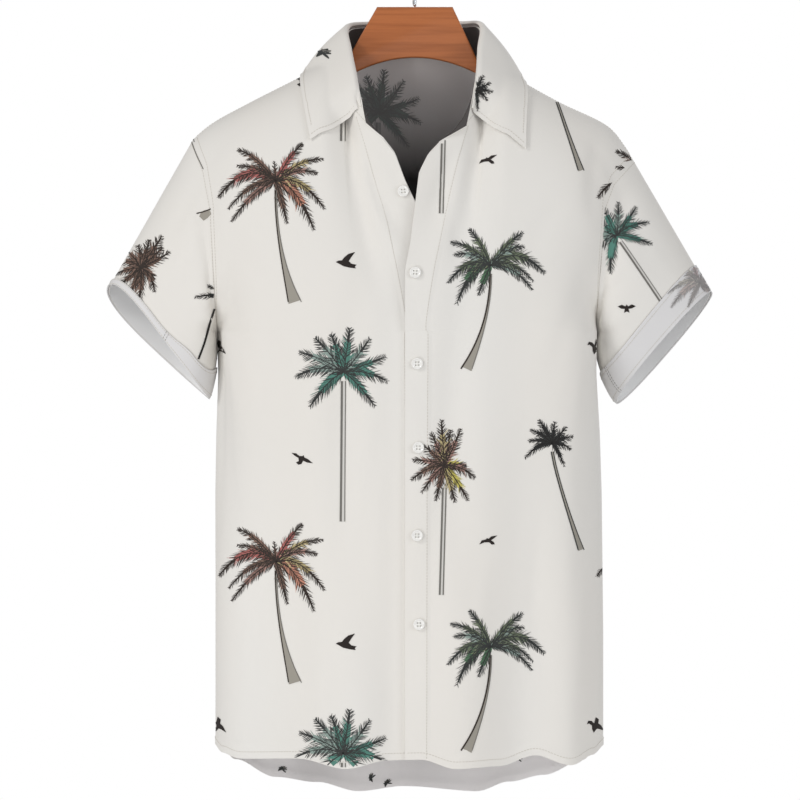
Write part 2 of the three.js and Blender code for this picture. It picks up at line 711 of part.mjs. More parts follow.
// Nearest grid point to a place, with the normal there
function nearestOn(grids, place, distance) {
  let best = { gap: Infinity };
  for (const grid of grids) {
    grid.rows.forEach((row, r) => row.forEach((point, c) => {
      const gap = distance(point, place);
      if (gap < best.gap) best = { gap, point, normal: grid.normals[r][c], grid, r, c };
    }));
  }
  return best;
}

function keepOff(point, grids, clearance) {
  const near = nearestOn(grids, point, (a, b) => a.distanceTo(b));
  const height = point.clone().sub(near.point).dot(near.normal);
  if (height < clearance) point.addScaledVector(near.normal, clearance - height);
  return point;
}

// Point of a front panel that shows at a given x and z, with its normal
function frontSurface(grid, x, z) {
  for (let r = 0; r < grid.rows.length - 1; r += 1) {
    for (let c = 0; c < grid.rows[r].length - 1; c += 1) {
      const corners = [[r, c], [r, c + 1], [r + 1, c + 1], [r + 1, c]];
      for (const pick of [[0, 1, 2], [0, 2, 3]]) {
        const [a, b, d] = pick.map((k) => grid.rows[corners[k][0]][corners[k][1]]);
        const area = (b.x - a.x) * (d.z - a.z) - (d.x - a.x) * (b.z - a.z);
        const s = ((x - a.x) * (d.z - a.z) - (d.x - a.x) * (z - a.z)) / area;
        const t = ((b.x - a.x) * (z - a.z) - (x - a.x) * (b.z - a.z)) / area;
        if (s >= 0 && t >= 0 && s + t <= 1) {
          const point = a.clone().addScaledVector(b.clone().sub(a), s).addScaledVector(d.clone().sub(a), t);
          const normal = b.clone().sub(a).cross(d.clone().sub(a)).normalize();
          return { point, normal };
        }
      }
    }
  }
  throw new Error('no cloth there');
}

const CLOTH_FINISH = new THREE.MeshStandardMaterial({ ...SHELL, side: THREE.DoubleSide });

function clothMesh(name, grid) {
  const mesh = new THREE.Mesh(wallGeometry(grid), CLOTH_FINISH.clone());
  mesh.name = name;
  return mesh;
}

function buttonMesh(name, grid, place) {
  const profile = BUTTON_PROFILE.map(([r, y]) => new THREE.Vector2(r, y));
  const geometry = new THREE.LatheGeometry(profile, BUTTON_SIDES);
  const mesh = new THREE.Mesh(geometry, new THREE.MeshStandardMaterial(BUTTON_WHITE));
  const { point, normal } = frontSurface(grid, place.x, place.z);
  mesh.position.copy(point).addScaledVector(normal, EDGE_CLOTH / 2 + LAY_GAP);
  mesh.quaternion.setFromUnitVectors(vec(0, 1, 0), normal);
  mesh.name = name;
  return mesh;
}

// Hanger arm: its top follows the shoulder seam, just under the cloth
function armTop(sizes) {
  const shape = panelShape(sizes, -1);
  const columns = panelColumns(true).filter((column) => column >= NECK_SHARE - 1e-9);
  return columns
    .filter((column) => column <= ARM_END_SHARE)
    .map((column) => {
      const point = shape.topPoint(column);
      const nearNeck = 1 - ease((column - NECK_SHARE) / ARM_NECK_FADE);
      const nearEnd = ease((column - ARM_END_START) / ARM_END_FADE);
      const drop = CLOTH / 2 + ARM_GAP + NECK_DROP * nearNeck + END_DROP * nearEnd;
      return new THREE.Vector2(point.x * mix(1, ARM_NECK_WIDTH, nearNeck), point.z - drop);
    });
}

function hangerOutline() {
  const right = armTop(RIGHT_SIDE);
  const left = armTop(LEFT_SIDE);
  const underside = (top) => [...top].reverse().slice(0, -ARM_SKIPPED_POINTS).map((point, i, all) => {
    const depth = mix(ARM_END_DEPTH, ARM_NECK_DEPTH, i / (all.length - 1));
    return new THREE.Vector2(point.x, point.y - depth);
  });
  const arch = [];
  for (let i = 0; i <= WOOD_ARCH_STEPS; i += 1) {
    const x = mix(-WOOD_ARCH_HALF, WOOD_ARCH_HALF, i / WOOD_ARCH_STEPS);
    const across = x / WOOD_ARCH_HALF;
    arch.push(new THREE.Vector2(x, mix(WOOD_ARCH_APEX_Z, WOOD_ARCH_Z, across * across)));
  }
  return [
    new THREE.Vector2(-WOOD_TOP_HALF, WOOD_TOP_Z),
    ...right,
    ...underside(right),
    ...arch,
    ...underside(left).reverse(),
    ...[...left].reverse(),
    new THREE.Vector2(WOOD_TOP_HALF, WOOD_TOP_Z),
  ];
}

function woodMesh() {
  const geometry = new THREE.ExtrudeGeometry(new THREE.Shape(hangerOutline()), {
    depth: WOOD_THICKNESS - 2 * WOOD_BEVEL_DEEP,
    bevelEnabled: true,
    bevelThickness: WOOD_BEVEL_DEEP,
    bevelSize: WOOD_BEVEL_IN,
    bevelOffset: -WOOD_BEVEL_IN,
    bevelSegments: 2,
    curveSegments: 1,
  });
  geometry.translate(0, 0, -(WOOD_THICKNESS - 2 * WOOD_BEVEL_DEEP) / 2);
  geometry.rotateX(Math.PI / 2);
  const mesh = new THREE.Mesh(geometry, new THREE.MeshStandardMaterial(WOOD));
  mesh.name = 'hanger_wood';
  return mesh;
}

function hookMesh() {
  const radius = HOOK_INNER_RADIUS + HOOK_WIRE_RADIUS;
  const centreZ = -HOOK_INNER_RADIUS;
  const points = [vec(0, 0, WOOD_TOP_Z + LAY_GAP), vec(0, 0, WOOD_TOP_Z + HOOK_STEM)];
  for (let i = 0; i <= HOOK_ARCS; i += 1) {
    const angle = THREE.MathUtils.degToRad(mix(HOOK_START_DEGREES, HOOK_END_DEGREES, i / HOOK_ARCS));
    points.push(vec(radius * Math.cos(angle), 0, centreZ + radius * Math.sin(angle)));
  }
  const section = new THREE.Shape(Array.from({ length: HOOK_SIDES }, (_, i) => {
    const angle = (2 * Math.PI * i) / HOOK_SIDES;
    return new THREE.Vector2(HOOK_WIRE_RADIUS * Math.cos(angle), HOOK_WIRE_RADIUS * Math.sin(angle));
  }));
  const path = new THREE.CatmullRomCurve3(points, false, 'centripetal');
  const geometry = new THREE.ExtrudeGeometry(section, { steps: HOOK_STEPS, extrudePath: path });
  const mesh = new THREE.Mesh(geometry, new THREE.MeshStandardMaterial(STEEL));
  mesh.name = 'hanger_hook';
  return mesh;
}

function buildShirt() {
  const frontRight = frontGrid(RIGHT_SIDE);
  const frontLeft = frontGrid(LEFT_SIDE);
  const back = backGrid();
  const sleeveRight = sleeveGrid(RIGHT_SIDE);
  const sleeveLeft = sleeveGrid(LEFT_SIDE);
  const stand = standGrid();
  const cuffRight = cuffGrid(RIGHT_SIDE);
  const cuffLeft = cuffGrid(LEFT_SIDE);
  shareNormals([frontRight, frontLeft, back, sleeveRight, sleeveLeft, stand]);
  const leaf = leafGrid(stand, [frontRight, frontLeft, back, stand]);
  insetEdges(frontRight, { first: SEAM_INSET, top: NECK_INSET / 2 });
  insetEdges(frontLeft, { last: SEAM_INSET, top: SEAM_INSET });
  insetEdges(back, { first: SEAM_INSET, last: SEAM_INSET, top: SEAM_INSET });
  insetEdges(sleeveRight, { bottom: SEAM_INSET });
  insetEdges(sleeveLeft, { bottom: SEAM_INSET });
  insetEdges(stand, { bottom: NECK_INSET });
  stand.rows[0].forEach((point, c) => point.addScaledVector(stand.normals[0][c], -STAND_TUCK));
  clearUnderarm(RIGHT_SIDE, sleeveRight);
  clearUnderarm(LEFT_SIDE, sleeveLeft);

  const group = new THREE.Group();
  group.add(clothMesh('shirt_back', back));
  group.add(clothMesh('front_right', frontRight));
  group.add(clothMesh('front_left', frontLeft));
  group.add(clothMesh('sleeve_right', sleeveRight));
  group.add(clothMesh('sleeve_left', sleeveLeft));
  group.add(clothMesh('cuff_right', cuffRight));
  group.add(clothMesh('cuff_left', cuffLeft));
  group.add(clothMesh('collar_stand', stand));
  group.add(clothMesh('collar_leaf', leaf));
  group.add(buttonMesh('button_1', frontRight, OPEN_BUTTON));
  CLOSED_BUTTONS.forEach((place, i) => group.add(buttonMesh(`button_${i + 2}`, frontLeft, place)));
  group.add(woodMesh());
  group.add(hookMesh());
  return group;
}

export default buildShirt();
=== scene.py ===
"""Looks of a short-sleeved hawaiian shirt on a wooden hanger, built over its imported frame.

Lengths are millimetres until a mesh is made. +Z is up, the front faces -Y, +X is the shirt's own left.
"""

import math

import bpy
import numpy as np
from mathutils import Matrix, Vector
from mathutils.bvhtree import BVHTree
from mathutils.geometry import tessellate_polygon


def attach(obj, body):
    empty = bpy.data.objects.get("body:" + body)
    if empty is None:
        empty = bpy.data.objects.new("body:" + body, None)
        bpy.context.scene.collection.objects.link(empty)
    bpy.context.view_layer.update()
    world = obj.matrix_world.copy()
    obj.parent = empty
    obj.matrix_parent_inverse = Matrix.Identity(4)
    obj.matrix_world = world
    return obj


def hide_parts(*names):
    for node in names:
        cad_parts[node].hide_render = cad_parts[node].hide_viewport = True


MM = 0.001

# Cloth: wall thickness of one layer, of a doubled edge, of the stand and of the collar leaf
CLOTH = 0.8
DOUBLED = 1.7
STAND_WALL = 1.6
LEAF_WALL = 1.5
LAY_GAP = 0.45

# Torso: heights, depths and the width of the folded front edges
UNDERARM_Z = -398
HEM_PROBE_Z = -820
BODY_LENGTH = 430
FRONT_DEPTH = 104
BACK_DEPTH = 98
HEM_DEPTH_SHARE = 0.94
BOXY_POWER = 4.4
ROUND_POWER = 2.7
ROUNDING_DROP = 150
FRONT_BAND = 26
BAND_STEP = 1.4
PANEL_WIDTH = 285
OVERLAP_LIFT = 2.8
NECK_LIFT = 3.4
LIFT_FADE = 70
UNDER_EDGE_X = 14
TOP_EDGE_X = -10

# Share of a panel's width that ends at the neck, and how deep the armhole bites
NECK_SHARE = 0.25
ARMHOLE_BITE = 0.26
ARMHOLE_HALF_DEPTH = 62
ARMHOLE_ROUNDNESS = 0.9
SHOULDER_POWER = 0.8
FRONT_NECK_POWER = 2
BACK_NECK_POWER = 1.4
POWER_FADE = 0.36
NECK_SOFT_START = 1.6
SIDE_HOLD = 2.2
PULL_FADE = 0.35
EDGE_FADE = 0.09
OVERLAP_FADE = 0.3
POWER_FADE_CURVE = 1.5

# Where folds die out: above the underarm in millimetres, and as shares near the side and the top
FOLD_FADE = 120
SIDE_FADE = 0.12
TOP_FADE = 0.25

# How far a crease bows, as a share of its length, and how it widens along its way
CREASE_BOW = 0.05
CREASE_WIDENING = (0.75, 1.3)
CREASE_ENDS = 1.4
SLEEVE_CREASE_ENDS = 1.3

# Fineness of the cloth
SECTION_STEPS = 240
LINE_SAMPLES = 201
LEVEL_STEP = 8
LEVELS = 61
BACK_COLUMNS = [0, 0.03, 0.06, 0.1]
NECK_COLUMNS = 22
SHOULDER_COLUMNS = 62
LOWER_ROWS = 66
UPPER_ROWS = 50
UPPER_ROW_BIAS = 1.25
SLEEVE_ROWS = 44
CUFF_ROWS = 8
STAND_ROWS = 6
LEAF_ROWS = 22
HEM_TURN = 0.0175
HEM_STEP = 0.003

# Collar leaf
LEAF_START = 0.35
LEAF_ROLL_GAP = 3.2
LEAF_ROLL_HEIGHT = 4.8
LEAF_ROLL_WIDTH = 6
LEAF_CROWN = 3
LEAF_CLEARANCE = 2.7
LEAF_SMOOTH_ROUNDS = 3
# Cross-section of the roll, as shares of its height and width
LEAF_ROLL = [(0.86, 0.2), (1, 0.35), (1.04, 0.5), (1, 0.65), (0.82, 0.86)]
LEAF_ROLL_END = (0.5, 1)

# Sleeve ends
CUFF_HALF_DEPTH = 44
CUFF_POWER = 2.4
CUFF_OVERHANG = 1.2
CUFF_WALL = CLOTH * 1.3
TILT_SIDEWAYS = (0.15, 0.57)
TILT_UP = (1, 0.82)
SLEEVE_SWELL = 6
UNDERARM_SPREADS = {-1: -3.0, 1: -7.0}
CAD_CLOTH = 1.2
DIP_STEP = 0.14
DIP_WIDTH = 0.1
DIP_DEPTH = 3.2

# Side edges of the torso (z, left, right) and the hems (x, z)
TORSO_EDGES = [
    (-398, -199, 182), (-440, -197.5, 181.5), (-500, -199.5, 185.5), (-560, -200.5, 187.5),
    (-700, -200, 189), (-880, -200, 189),
]
FRONT_HEM = [
    (-200, -811), (-190, -818), (-172, -823), (-115, -822), (-68, -831), (-28, -823), (6, -822),
    (40, -831), (84, -829), (122, -819), (152, -829), (176, -820), (189, -812),
]
BACK_HEM = [
    (-200, -811), (-180, -831), (-143, -850), (-100, -856), (-58, -866), (-12, -860),
    (62, -866), (98, -855), (132, -848), (168, -832), (189, -812),
]

# Long soft folds: x, half width, height at the chest, height at the hem
FRONT_FOLDS = [
    (-178, 17, 1, 4), (-136, 30, -2, -9), (-64, 30, 2.5, 8), (-22, 16, -1, -3),
    (46, 27, 2, 7), (108, 29, -3, -9), (152, 18, 1, 6),
]
BACK_FOLDS = [
    (-166, 22, 1, 4), (-124, 24, -2, -7), (-70, 28, 2, 8), (-14, 26, -2.5, -8),
    (48, 26, 2, 7), (104, 26, -2, -8), (150, 20, 1, 5),
]

# Soft rolls of the open front: top x, top z, low x, low z, half width, height
NECK_ROLLS = [(-62, -195, -14, -335, 15, 6), (60, -200, 22, -330, 15, 4)]

# Creases: start x, z, end x, z, half width, height (a trough is below zero)
FRONT_CREASES = [
    (-176, -250, -166, -700, 22, -8.0), (-52, -320, -45, -764, 19, -7.0), (57, -292, 62, -730, 21, -7.4),
    (-196, -322, -150, -452, 9, -1.6), (-198, -352, -163, -520, 7, 1.3), (-186, -300, -118, -372, 11, -1.2),
    (-190, -415, -176, -600, 6, -1.0), (-92, -215, -78, -330, 12, -1.3), (-112, -220, -124, -318, 9, 0.9),
    (-52, -248, -30, -372, 8, -1.7), (-40, -230, -16, -318, 6, 1.2), (-30, -470, -42, -700, 9, -1.1),
    (-100, -560, -112, -800, 12, -1.4), (-84, -640, -90, -822, 8, 1.2), (-160, -650, -152, -815, 9, 1.2),
    (34, -250, 56, -350, 8, -1.3), (62, -228, 88, -330, 10, 1.0), (181, -330, 132, -470, 10, -1.7),
    (184, -362, 158, -540, 7, 1.2), (150, -262, 104, -342, 11, -1.1), (30, -520, 24, -742, 8, -1.0),
    (76, -610, 70, -812, 10, 1.2), (128, -560, 138, -790, 9, -1.2), (176, -600, 170, -806, 7, 1.1),
    (-52, -198, -8, -320, 8, -8.5), (46, -204, 16, -316, 10, -5.5), (184, -196, 182, -300, 9, -2.5),
    (10, -690, 16, -815, 6, 0.8), (-8, -356, 18, -402, 5, -0.8), (-4, -446, 22, -480, 5, -0.7),
]
BACK_CREASES = [
    (-192, -330, -140, -470, 10, -1.7), (-190, -372, -158, -560, 7, 1.2), (-120, -236, -60, -276, 12, -1.2),
    (-40, -226, 34, -244, 10, 1.0), (60, -240, 122, -268, 11, -1.1), (176, -336, 128, -480, 10, -1.6),
    (180, -380, 152, -560, 7, 1.2), (-96, -420, -104, -640, 11, -1.3), (-42, -520, -36, -800, 9, 1.2),
    (18, -440, 24, -700, 10, -1.2), (76, -560, 82, -820, 9, 1.2), (126, -600, 120, -810, 8, -1.0),
    (-148, -640, -142, -820, 8, 1.1), (-8, -300, -16, -420, 14, -1.4),
]
# Sleeve creases: share round the ring at the start and end, step down the sleeve there, width, height
SLEEVE_CREASES = [
    (0.10, 0.05, 0.34, 0.62, 0.030, -2.2), (0.17, 0.08, 0.42, 0.70, 0.024, 1.7),
    (0.30, 0.04, 0.52, 0.50, 0.036, -1.9), (0.55, 0.10, 0.62, 0.82, 0.040, 1.6),
    (0.74, 0.04, 0.70, 0.56, 0.034, -1.5), (1.90, 0.05, 1.66, 0.60, 0.030, -2.1),
    (1.83, 0.10, 1.60, 0.72, 0.026, 1.6), (1.44, 0.06, 1.38, 0.66, 0.038, -1.4),
]

# Each side of the shirt. Neck seam, roll line and leaf edge run from the front to the centre back.
# A cuff's bands give its height at shares of the way from its top, at 0, down to its underarm, at 1.
RIGHT_SIDE = {
    "side": -1,
    "seam": [
        (-32, -86, -206), (-59, -71, -181), (-73, -38, -152), (-76, 0, -120), (-52, 42, -116), (0, 55, -115),
    ],
    "roll": [
        (-49, -81, -191), (-57, -61, -152), (-64, -31, -119), (-67, 4, -95), (-47, 37, -89), (0, 49, -88),
    ],
    "leaf_edge": [
        (-103, -76, -210), (-107, -58, -183), (-110, -28, -154),
        (-111, 6, -134), (-74, 60, -131), (0, 70, -131),
    ],
    "shoulder": [(-76, 0, -120), (-112, 0, -140), (-164, 0, -167), (-203, 0, -188), (-223, 0, -204)],
    "armhole": [(-398, -199), (-340, -200.5), (-275, -203), (-236, -210), (-204, -223)],
    "cuff": {
        "top": (-307, -352), "bottom": (-208, -463), "tilts": (3, 16),
        "bands": [(0, 5), (0.4, 6), (0.56, 16), (1, 31)],
    },
}
LEFT_SIDE = {
    "side": 1,
    "seam": [(24, -88, -210), (53, -73, -191), (70, -40, -158), (72, 0, -125), (50, 42, -117), (0, 55, -115)],
    "roll": [(51, -82, -194), (60, -62, -150), (63, -31, -118), (65, 4, -92), (46, 37, -88.5), (0, 49, -88)],
    "leaf_edge": [
        (109, -78, -218), (108, -58, -188), (108, -28, -159), (107, 6, -139), (72, 60, -132), (0, 70, -131),
    ],
    "shoulder": [
        (72, 0, -125), (109, 0, -147), (145, 0, -167), (194, 0, -191), (208, 0, -207), (219, 0, -224),
    ],
    "armhole": [(-398, 182), (-340, 184), (-270, 189), (-248, 197), (-224, 219)],
    "cuff": {
        "top": (297, -358), "bottom": (203, -466), "tilts": (10, 8),
        "bands": [(0, 30), (0.5, 27), (1, 31)],
    },
}

# Free front edges above the chest (z, x)
UNDER_EDGE = [(-398, 14), (-305, 14), (-287, 9), (-269, 0), (-248, -10), (-221, -20), (-206, -32)]
TOP_EDGE = [(-398, -10), (-336, -10), (-312, -5), (-273, 0), (-240, 4), (-222, 13), (-210, 24)]

# Buttons, seen from the front (x, z)
OPEN_BUTTON = (-11.5, -259)
CLOSED_BUTTONS = [(0, -340), (2, -430), (3, -513), (2, -600), (4, -688)]
BUTTON_PROFILE = [
    (0, 0), (5.0, 0), (5.55, 0.3), (5.75, 0.8), (5.75, 1.6), (5.6, 2.1), (5.2, 2.4), (4.7, 2.42),
    (4.25, 2.2), (3.8, 1.85), (3.3, 1.75), (0, 1.75),
]
BUTTON_SIDES = 48
BUTTON_LIFT = 0.55
HOLE_RADIUS = 0.72
HOLE_PLACE = 1.45
HOLE_SIDES = 14
SHANK_PROFILE = [(0, -1), (1.6, -0.8), (1.4, 0.3), (0, 0.3)]
SHANK_SIDES = 12
BAR_HALF = 0.3
BAR_THICKNESS = 0.3
BAR_LOW = 0.4
BAR_HIGH = 2.05
BAR_TOP_SHARE = 0.8

# Hanger
WOOD_TOP_Z = -70.6
WOOD_TOP_HALF = 38
WOOD_HALF = 6.5
WOOD_BEVEL_IN = 1.6
WOOD_BEVEL_DEEP = 2.6
WOOD_BEVEL_STEPS = 5
WOOD_ARCH_APEX_Z = -121.6
WOOD_ARCH_HALF = 61
WOOD_ARCH_Z = -137
ARM_DEPTHS = (17, 26)
ARM_END_SHARE = 0.86
ARM_GAP = 0.8
NECK_DROP = 6
END_DROP = 2
HOOK_INNER_RADIUS = 24
HOOK_WIRE_RADIUS = 2
HOOK_DEGREES = (-62, 202)
HOOK_NECK = 8
HOOK_KNOTS = 15
HOOK_STEPS = 121
HOOK_SIDES = 20
# Rounded ends of the wire: share of its length, and of its radius there
HOOK_ENDS = [(0, 0.55), (0.012, 0.9), (0.02, 1)]

# Sewing
DASH = 2.1
DASH_PITCH = 3.1
THREAD_WIDTH = 0.5
THREAD_HEIGHT = 0.28
STITCH_FACES = [(1, 5, 6, 2), (2, 6, 7, 3), (3, 7, 4, 0), (0, 1, 2, 3), (5, 4, 7, 6)]
HEM_SEAM = 0.92
ARMHOLE_SEAM = 0.978
ARMHOLE_SEAM_SPAN = (1.05, 1.94)
SHOULDER_SEAM = 1.975
BAND_SEAM_INSET = 1.6
LEAF_SEAM_INSET = 4.5
SEAM_GAP = 3.2
CUFF_SEAMS = {"right": 0.29, "left": 0.87}

# Print: where rays start from, the steepest cloth that takes ink, and the longest side of a face
PROBE_REACH = 400
NORMAL_LIMIT = -0.06
LONGEST_FACE = 34

# Print: the repeat, how far each layer of ink stands off the cloth, and the form of a frond
REPEAT = 377.6
WASH_LIFT = 0.25
INK_LIFT = 0.4
RIB_LIFT = 0.5
WASH_SHARE = 0.22
WASHED_LENGTH = 0.72
WASH_BREADTH = 0.42
TIP_BREADTH = 0.2
FROND_FULLNESS = 1.5
FROND_ROUNDNESS = 0.6
LEAFLET_STEP = 1.9
LEAFLET_HALF = (0.42, 0.68)
LEAFLET_FORWARD = (0.8, 1.25)
LEAFLET_ASIDE = (0.6, 0.95)
LEAFLET_LENGTH = (0.95, 1.5)
LEAFLET_DROOP = np.array([0, -0.22])
BIRD_SPLITS = 2
TRUNK_SAMPLES = 33
DUSKY_SCALE = 0.85
BACK_PHASE = (188.0, 90.0)
INSIDE_PHASE = (33.7, -113.3)
INSIDE_PRINT_END_Z = -700

# Finishes, as screen colours
WEAVE = 0.25
IVORY = (0.925, 0.92, 0.905)
IVORY_WARM = (0.925, 0.905, 0.875)
WRONG_SIDE = (0.89, 0.885, 0.885)
THREAD = (0.80, 0.78, 0.74)
THREAD_DARK = (0.52, 0.51, 0.50)

# Grey of the inside of the back by height in metres: painted shade, darkest behind the open neck, and painted
# light near the neck and the hem, paler there than the wrong side
INSIDE_SHADES = [
    (-0.87, 0.97), (-0.80, 0.95), (-0.60, 0.6), (-0.30, 0.10), (-0.24, 0.2), (-0.18, 0.8), (-0.13, 0.97),
]
# Dark grey of the inside of the collar stand: painted shade, the cloth itself is white
STAND_INSIDE_PAINTED_SHADE = (0.30, 0.285, 0.28)
INKS = {
    "ink_dark": (0.19, 0.15, 0.125),
    "ink_black": (0.10, 0.09, 0.085),
    "ink_bird": (0.12, 0.08, 0.06),
    "ink_grey": (0.45, 0.44, 0.42),
    "ink_taupe": (0.62, 0.60, 0.56),
    "ink_pale": (0.84, 0.83, 0.81),
    "ink_red": (0.69, 0.41, 0.39),
    "ink_orange": (0.80, 0.56, 0.47),
    "ink_sand": (0.74, 0.68, 0.50),
    "ink_brown": (0.50, 0.40, 0.35),
    "ink_teal": (0.33, 0.53, 0.48),
    "ink_mist": (0.58, 0.65, 0.62),
    "ink_green": (0.32, 0.46, 0.34),
    "ink_lime": (0.64, 0.70, 0.52),
    "ink_moss": (0.42, 0.46, 0.37),
    "ink_yellow": (0.78, 0.74, 0.38),
    "ink_rose": (0.66, 0.52, 0.48),
    "ink_slate": (0.20, 0.21, 0.205),
}

# Fronds of each palm: direction in degrees, length, arch, half width, wash
RED_PALM = [
    (140, 50, 10, 4.2, "ink_brown"), (158, 42, 9, 3.6, "ink_brown"), (195, 60, 30, 6.4, "ink_red"),
    (210, 55, 17, 4.2, "ink_brown"), (222, 60, 13, 4.6, "ink_rose"), (285, 44, 4, 5, "ink_brown"),
    (308, 62, 24, 7.4, "ink_orange"), (330, 56, 22, 5.4, "ink_sand"), (10, 42, 12, 4.2, "ink_rose"),
    (25, 52, 12, 3.6, "ink_sand"), (55, 46, 7, 4.4, "ink_red"), (95, 20, 0, 2.2, "ink_brown"),
]
TEAL_PALM = [
    (130, 44, 3, 5.6, "ink_mist"), (108, 40, 1, 5.4, "ink_teal"), (82, 44, 0, 6.4, "ink_teal"),
    (52, 42, -3, 5.2, "ink_mist"), (20, 44, -1, 5.6, "ink_teal"), (348, 44, 8, 6, "ink_teal"),
    (312, 46, 6, 5.8, "ink_teal"), (226, 48, 10, 7.4, "ink_teal"), (186, 48, 12, 6, "ink_mist"),
    (156, 48, 5, 5.6, "ink_mist"),
]
GREEN_PALM = [
    (120, 42, 7, 4, "ink_moss"), (150, 46, 11, 3.8, "ink_moss"), (164, 38, 11, 4.2, "ink_mist"),
    (202, 46, 20, 5.6, "ink_moss"), (228, 50, 26, 7.4, "ink_green"), (247, 32, 4, 5, "ink_green"),
    (330, 48, 16, 4.6, "ink_mist"), (340, 45, 17, 3.6, "ink_moss"), (352, 54, 27, 6.4, "ink_moss"),
    (30, 38, 11, 4.2, "ink_mist"), (46, 46, 7, 4.6, "ink_moss"), (222, 34, 15, 4.2, "ink_lime"),
]
BROWN_PALM = [
    (94, 45, 0, 5, "ink_sand"), (112, 35, 2, 4, "ink_rose"), (80, 36, 0, 4.2, "ink_brown"),
    (66, 40, -3, 4.6, "ink_rose"), (136, 28, 2, 4.4, "ink_brown"), (170, 32, 3, 4.2, "ink_rose"),
    (204, 36, 8, 4.6, "ink_brown"), (230, 35, 5, 4.4, "ink_rose"), (256, 36, 1, 4.6, "ink_brown"),
    (286, 38, 1, 4.8, "ink_sand"), (304, 42, 5, 5.2, "ink_yellow"), (338, 33, 8, 5, "ink_rose"),
    (358, 22, 4, 4.4, "ink_yellow"),
]
DUSKY_PALM = [
    (turn, length * DUSKY_SCALE, arch, width, "ink_brown") for turn, length, arch, width, _ in BROWN_PALM
]
BLACK_PALM = [
    (120, 27, 3, 3.4, "ink_slate"), (148, 26, 4, 3.2, "ink_slate"), (174, 24, 4, 3.2, "ink_slate"),
    (208, 31, 9, 3.6, "ink_slate"), (84, 22, 0, 3.6, "ink_slate"), (50, 22, 0, 3.2, "ink_slate"),
    (18, 22, 3, 3.2, "ink_slate"), (342, 20, 5, 3.4, "ink_slate"), (298, 26, 5, 3, "ink_slate"),
]

# Trunk of each palm: lean, top, foot, bend, thin and broad half width, fill, ink and width of each edge
TRUNK_KNOTS = 9
FLARE = 3.5
TRUNKS = {
    "red": (19, -9, -120, 2.0, 0.8, 6.5, "ink_taupe", ("ink_dark", 0.6), ("ink_grey", 0.4)),
    "teal": (-1, -9, -148, 1.0, 1.8, 2.0, "ink_pale", ("ink_grey", 1.1), ("ink_grey", 0.45)),
    "green": (-24, -8, -102, 2.0, 0.8, 5.5, "ink_taupe", ("ink_dark", 0.75), ("ink_grey", 0.4)),
    "brown": (-3, -22, -128, 1.0, 1.6, 1.7, "ink_pale", ("ink_grey", 0.9), ("ink_grey", 0.6)),
    "black": (29, -8, -106, 1.2, 1.1, 3.0, "ink_taupe", ("ink_slate", 0.55), ("ink_slate", 0.45)),
}
# Bits of motifs that a seam or an edge cuts off
BITS = {
    "bent_line": [("ink_black", [(0, 0, 0.8), (-5, -16, 1.0), (-10, -34, 1.0), (-16, -50, 1.0)])],
    "stub": [
        ("ink_taupe", [(-7.5, 16, 2.0), (-1, 0, 2.0), (6.5, -16, 1.9)]),
        ("ink_dark", [(-5.6, 16, 0.55), (1.2, 0, 0.6), (8.6, -16, 0.6)]),
        ("ink_grey", [(-9.4, 16, 0.4), (-3, 0, 0.4), (4.6, -16, 0.45)]),
    ],
    "wedge": [
        ("ink_taupe", [(8, 2, 1.5), (1, -1, 4.2), (-3, -5, 3.2)]),
        ("ink_dark", [(-8, 0, 0.6), (0, 2, 0.6), (8, 5, 0.6)]),
    ],
    "tuft": [
        ("ink_slate", [(-7, -3, 0.6), (-2, 1, 2.6), (5, 4, 0.8)]),
        ("ink_slate", [(-6, 3, 0.5), (0, 1, 1.6), (8, -1, 0.6)]),
        ("ink_grey", [(-2, 5, 0.4), (2, 2, 1.5), (8, 2, 0.5)]),
        ("ink_slate", [(0, -1, 0.6), (3, -3, 1.2), (6, -6, 0.5)]),
    ],
}
PALMS = {
    "red": (RED_PALM, "red", "ink_dark", 8),
    "teal": (TEAL_PALM, "teal", "ink_slate", 9),
    "green": (GREEN_PALM, "green", "ink_slate", 9),
    "brown": (BROWN_PALM, "brown", "ink_dark", 6),
    "black": (BLACK_PALM, "black", "ink_black", 5),
    "dusky": (DUSKY_PALM, "brown", "ink_dark", 6),
}
BIRDS = {
    "soaring": [
        (-10.5, -0.5), (-8, 0.9), (-4.5, 1.2), (-2, 4.4), (2, 7.6), (8.5, 9.5), (5, 4.8), (2.2, 0.4),
        (5, -2.2), (10, -3.2), (8.2, -5), (9.2, -6.8), (3, -6), (-3, -4.6), (-8, -1.8),
    ],
    "gliding": [
        (-10.5, 5.6), (-6, 5.2), (-2.6, 2.6), (0.4, 2.4), (1.6, 3.4), (2.2, 1.2), (6, -0.6), (10.8, -4.6),
        (5.4, -4), (1, -2.2), (-0.6, -5.4), (-3.6, -6.2), (-6, -4), (-3.2, -2.4), (-3.6, 0.6), (-7, 2.6),
    ],
    "passing": [
        (-9, -4.4), (-6.6, -0.4), (-2.4, 0.6), (-1.6, 1.8), (0.2, 1.2), (3, 3.6), (9, 4.4), (5.4, 1.6),
        (2.6, -0.4), (5.4, -2.2), (6.2, -4.4), (3.2, -4.6), (0.6, -2.2), (-4, -2.4),
    ],
    "turning": [
        (-9, 2), (-7.4, 5.4), (-4, 4.8), (-1.4, 2.2), (0.4, 8.2), (3.6, 5.8), (3, 1.8), (6.2, -0.8),
        (9.4, -6.6), (4.2, -4), (1.4, -3.4), (-1.8, -7), (-3.4, -3.4), (-3.6, 0.2), (-6.8, 2.6),
    ],
    "facing": [
        (-9, 1.2), (-5, 3), (-1.4, 1.4), (0, 3.2), (1.4, 1.4), (5, 3.4), (9.2, 1.6), (5.2, -0.6),
        (1.8, -1), (2.8, -4.8), (0, -3.6), (-2.6, -5), (-1.8, -1), (-5.2, -1),
    ],
}

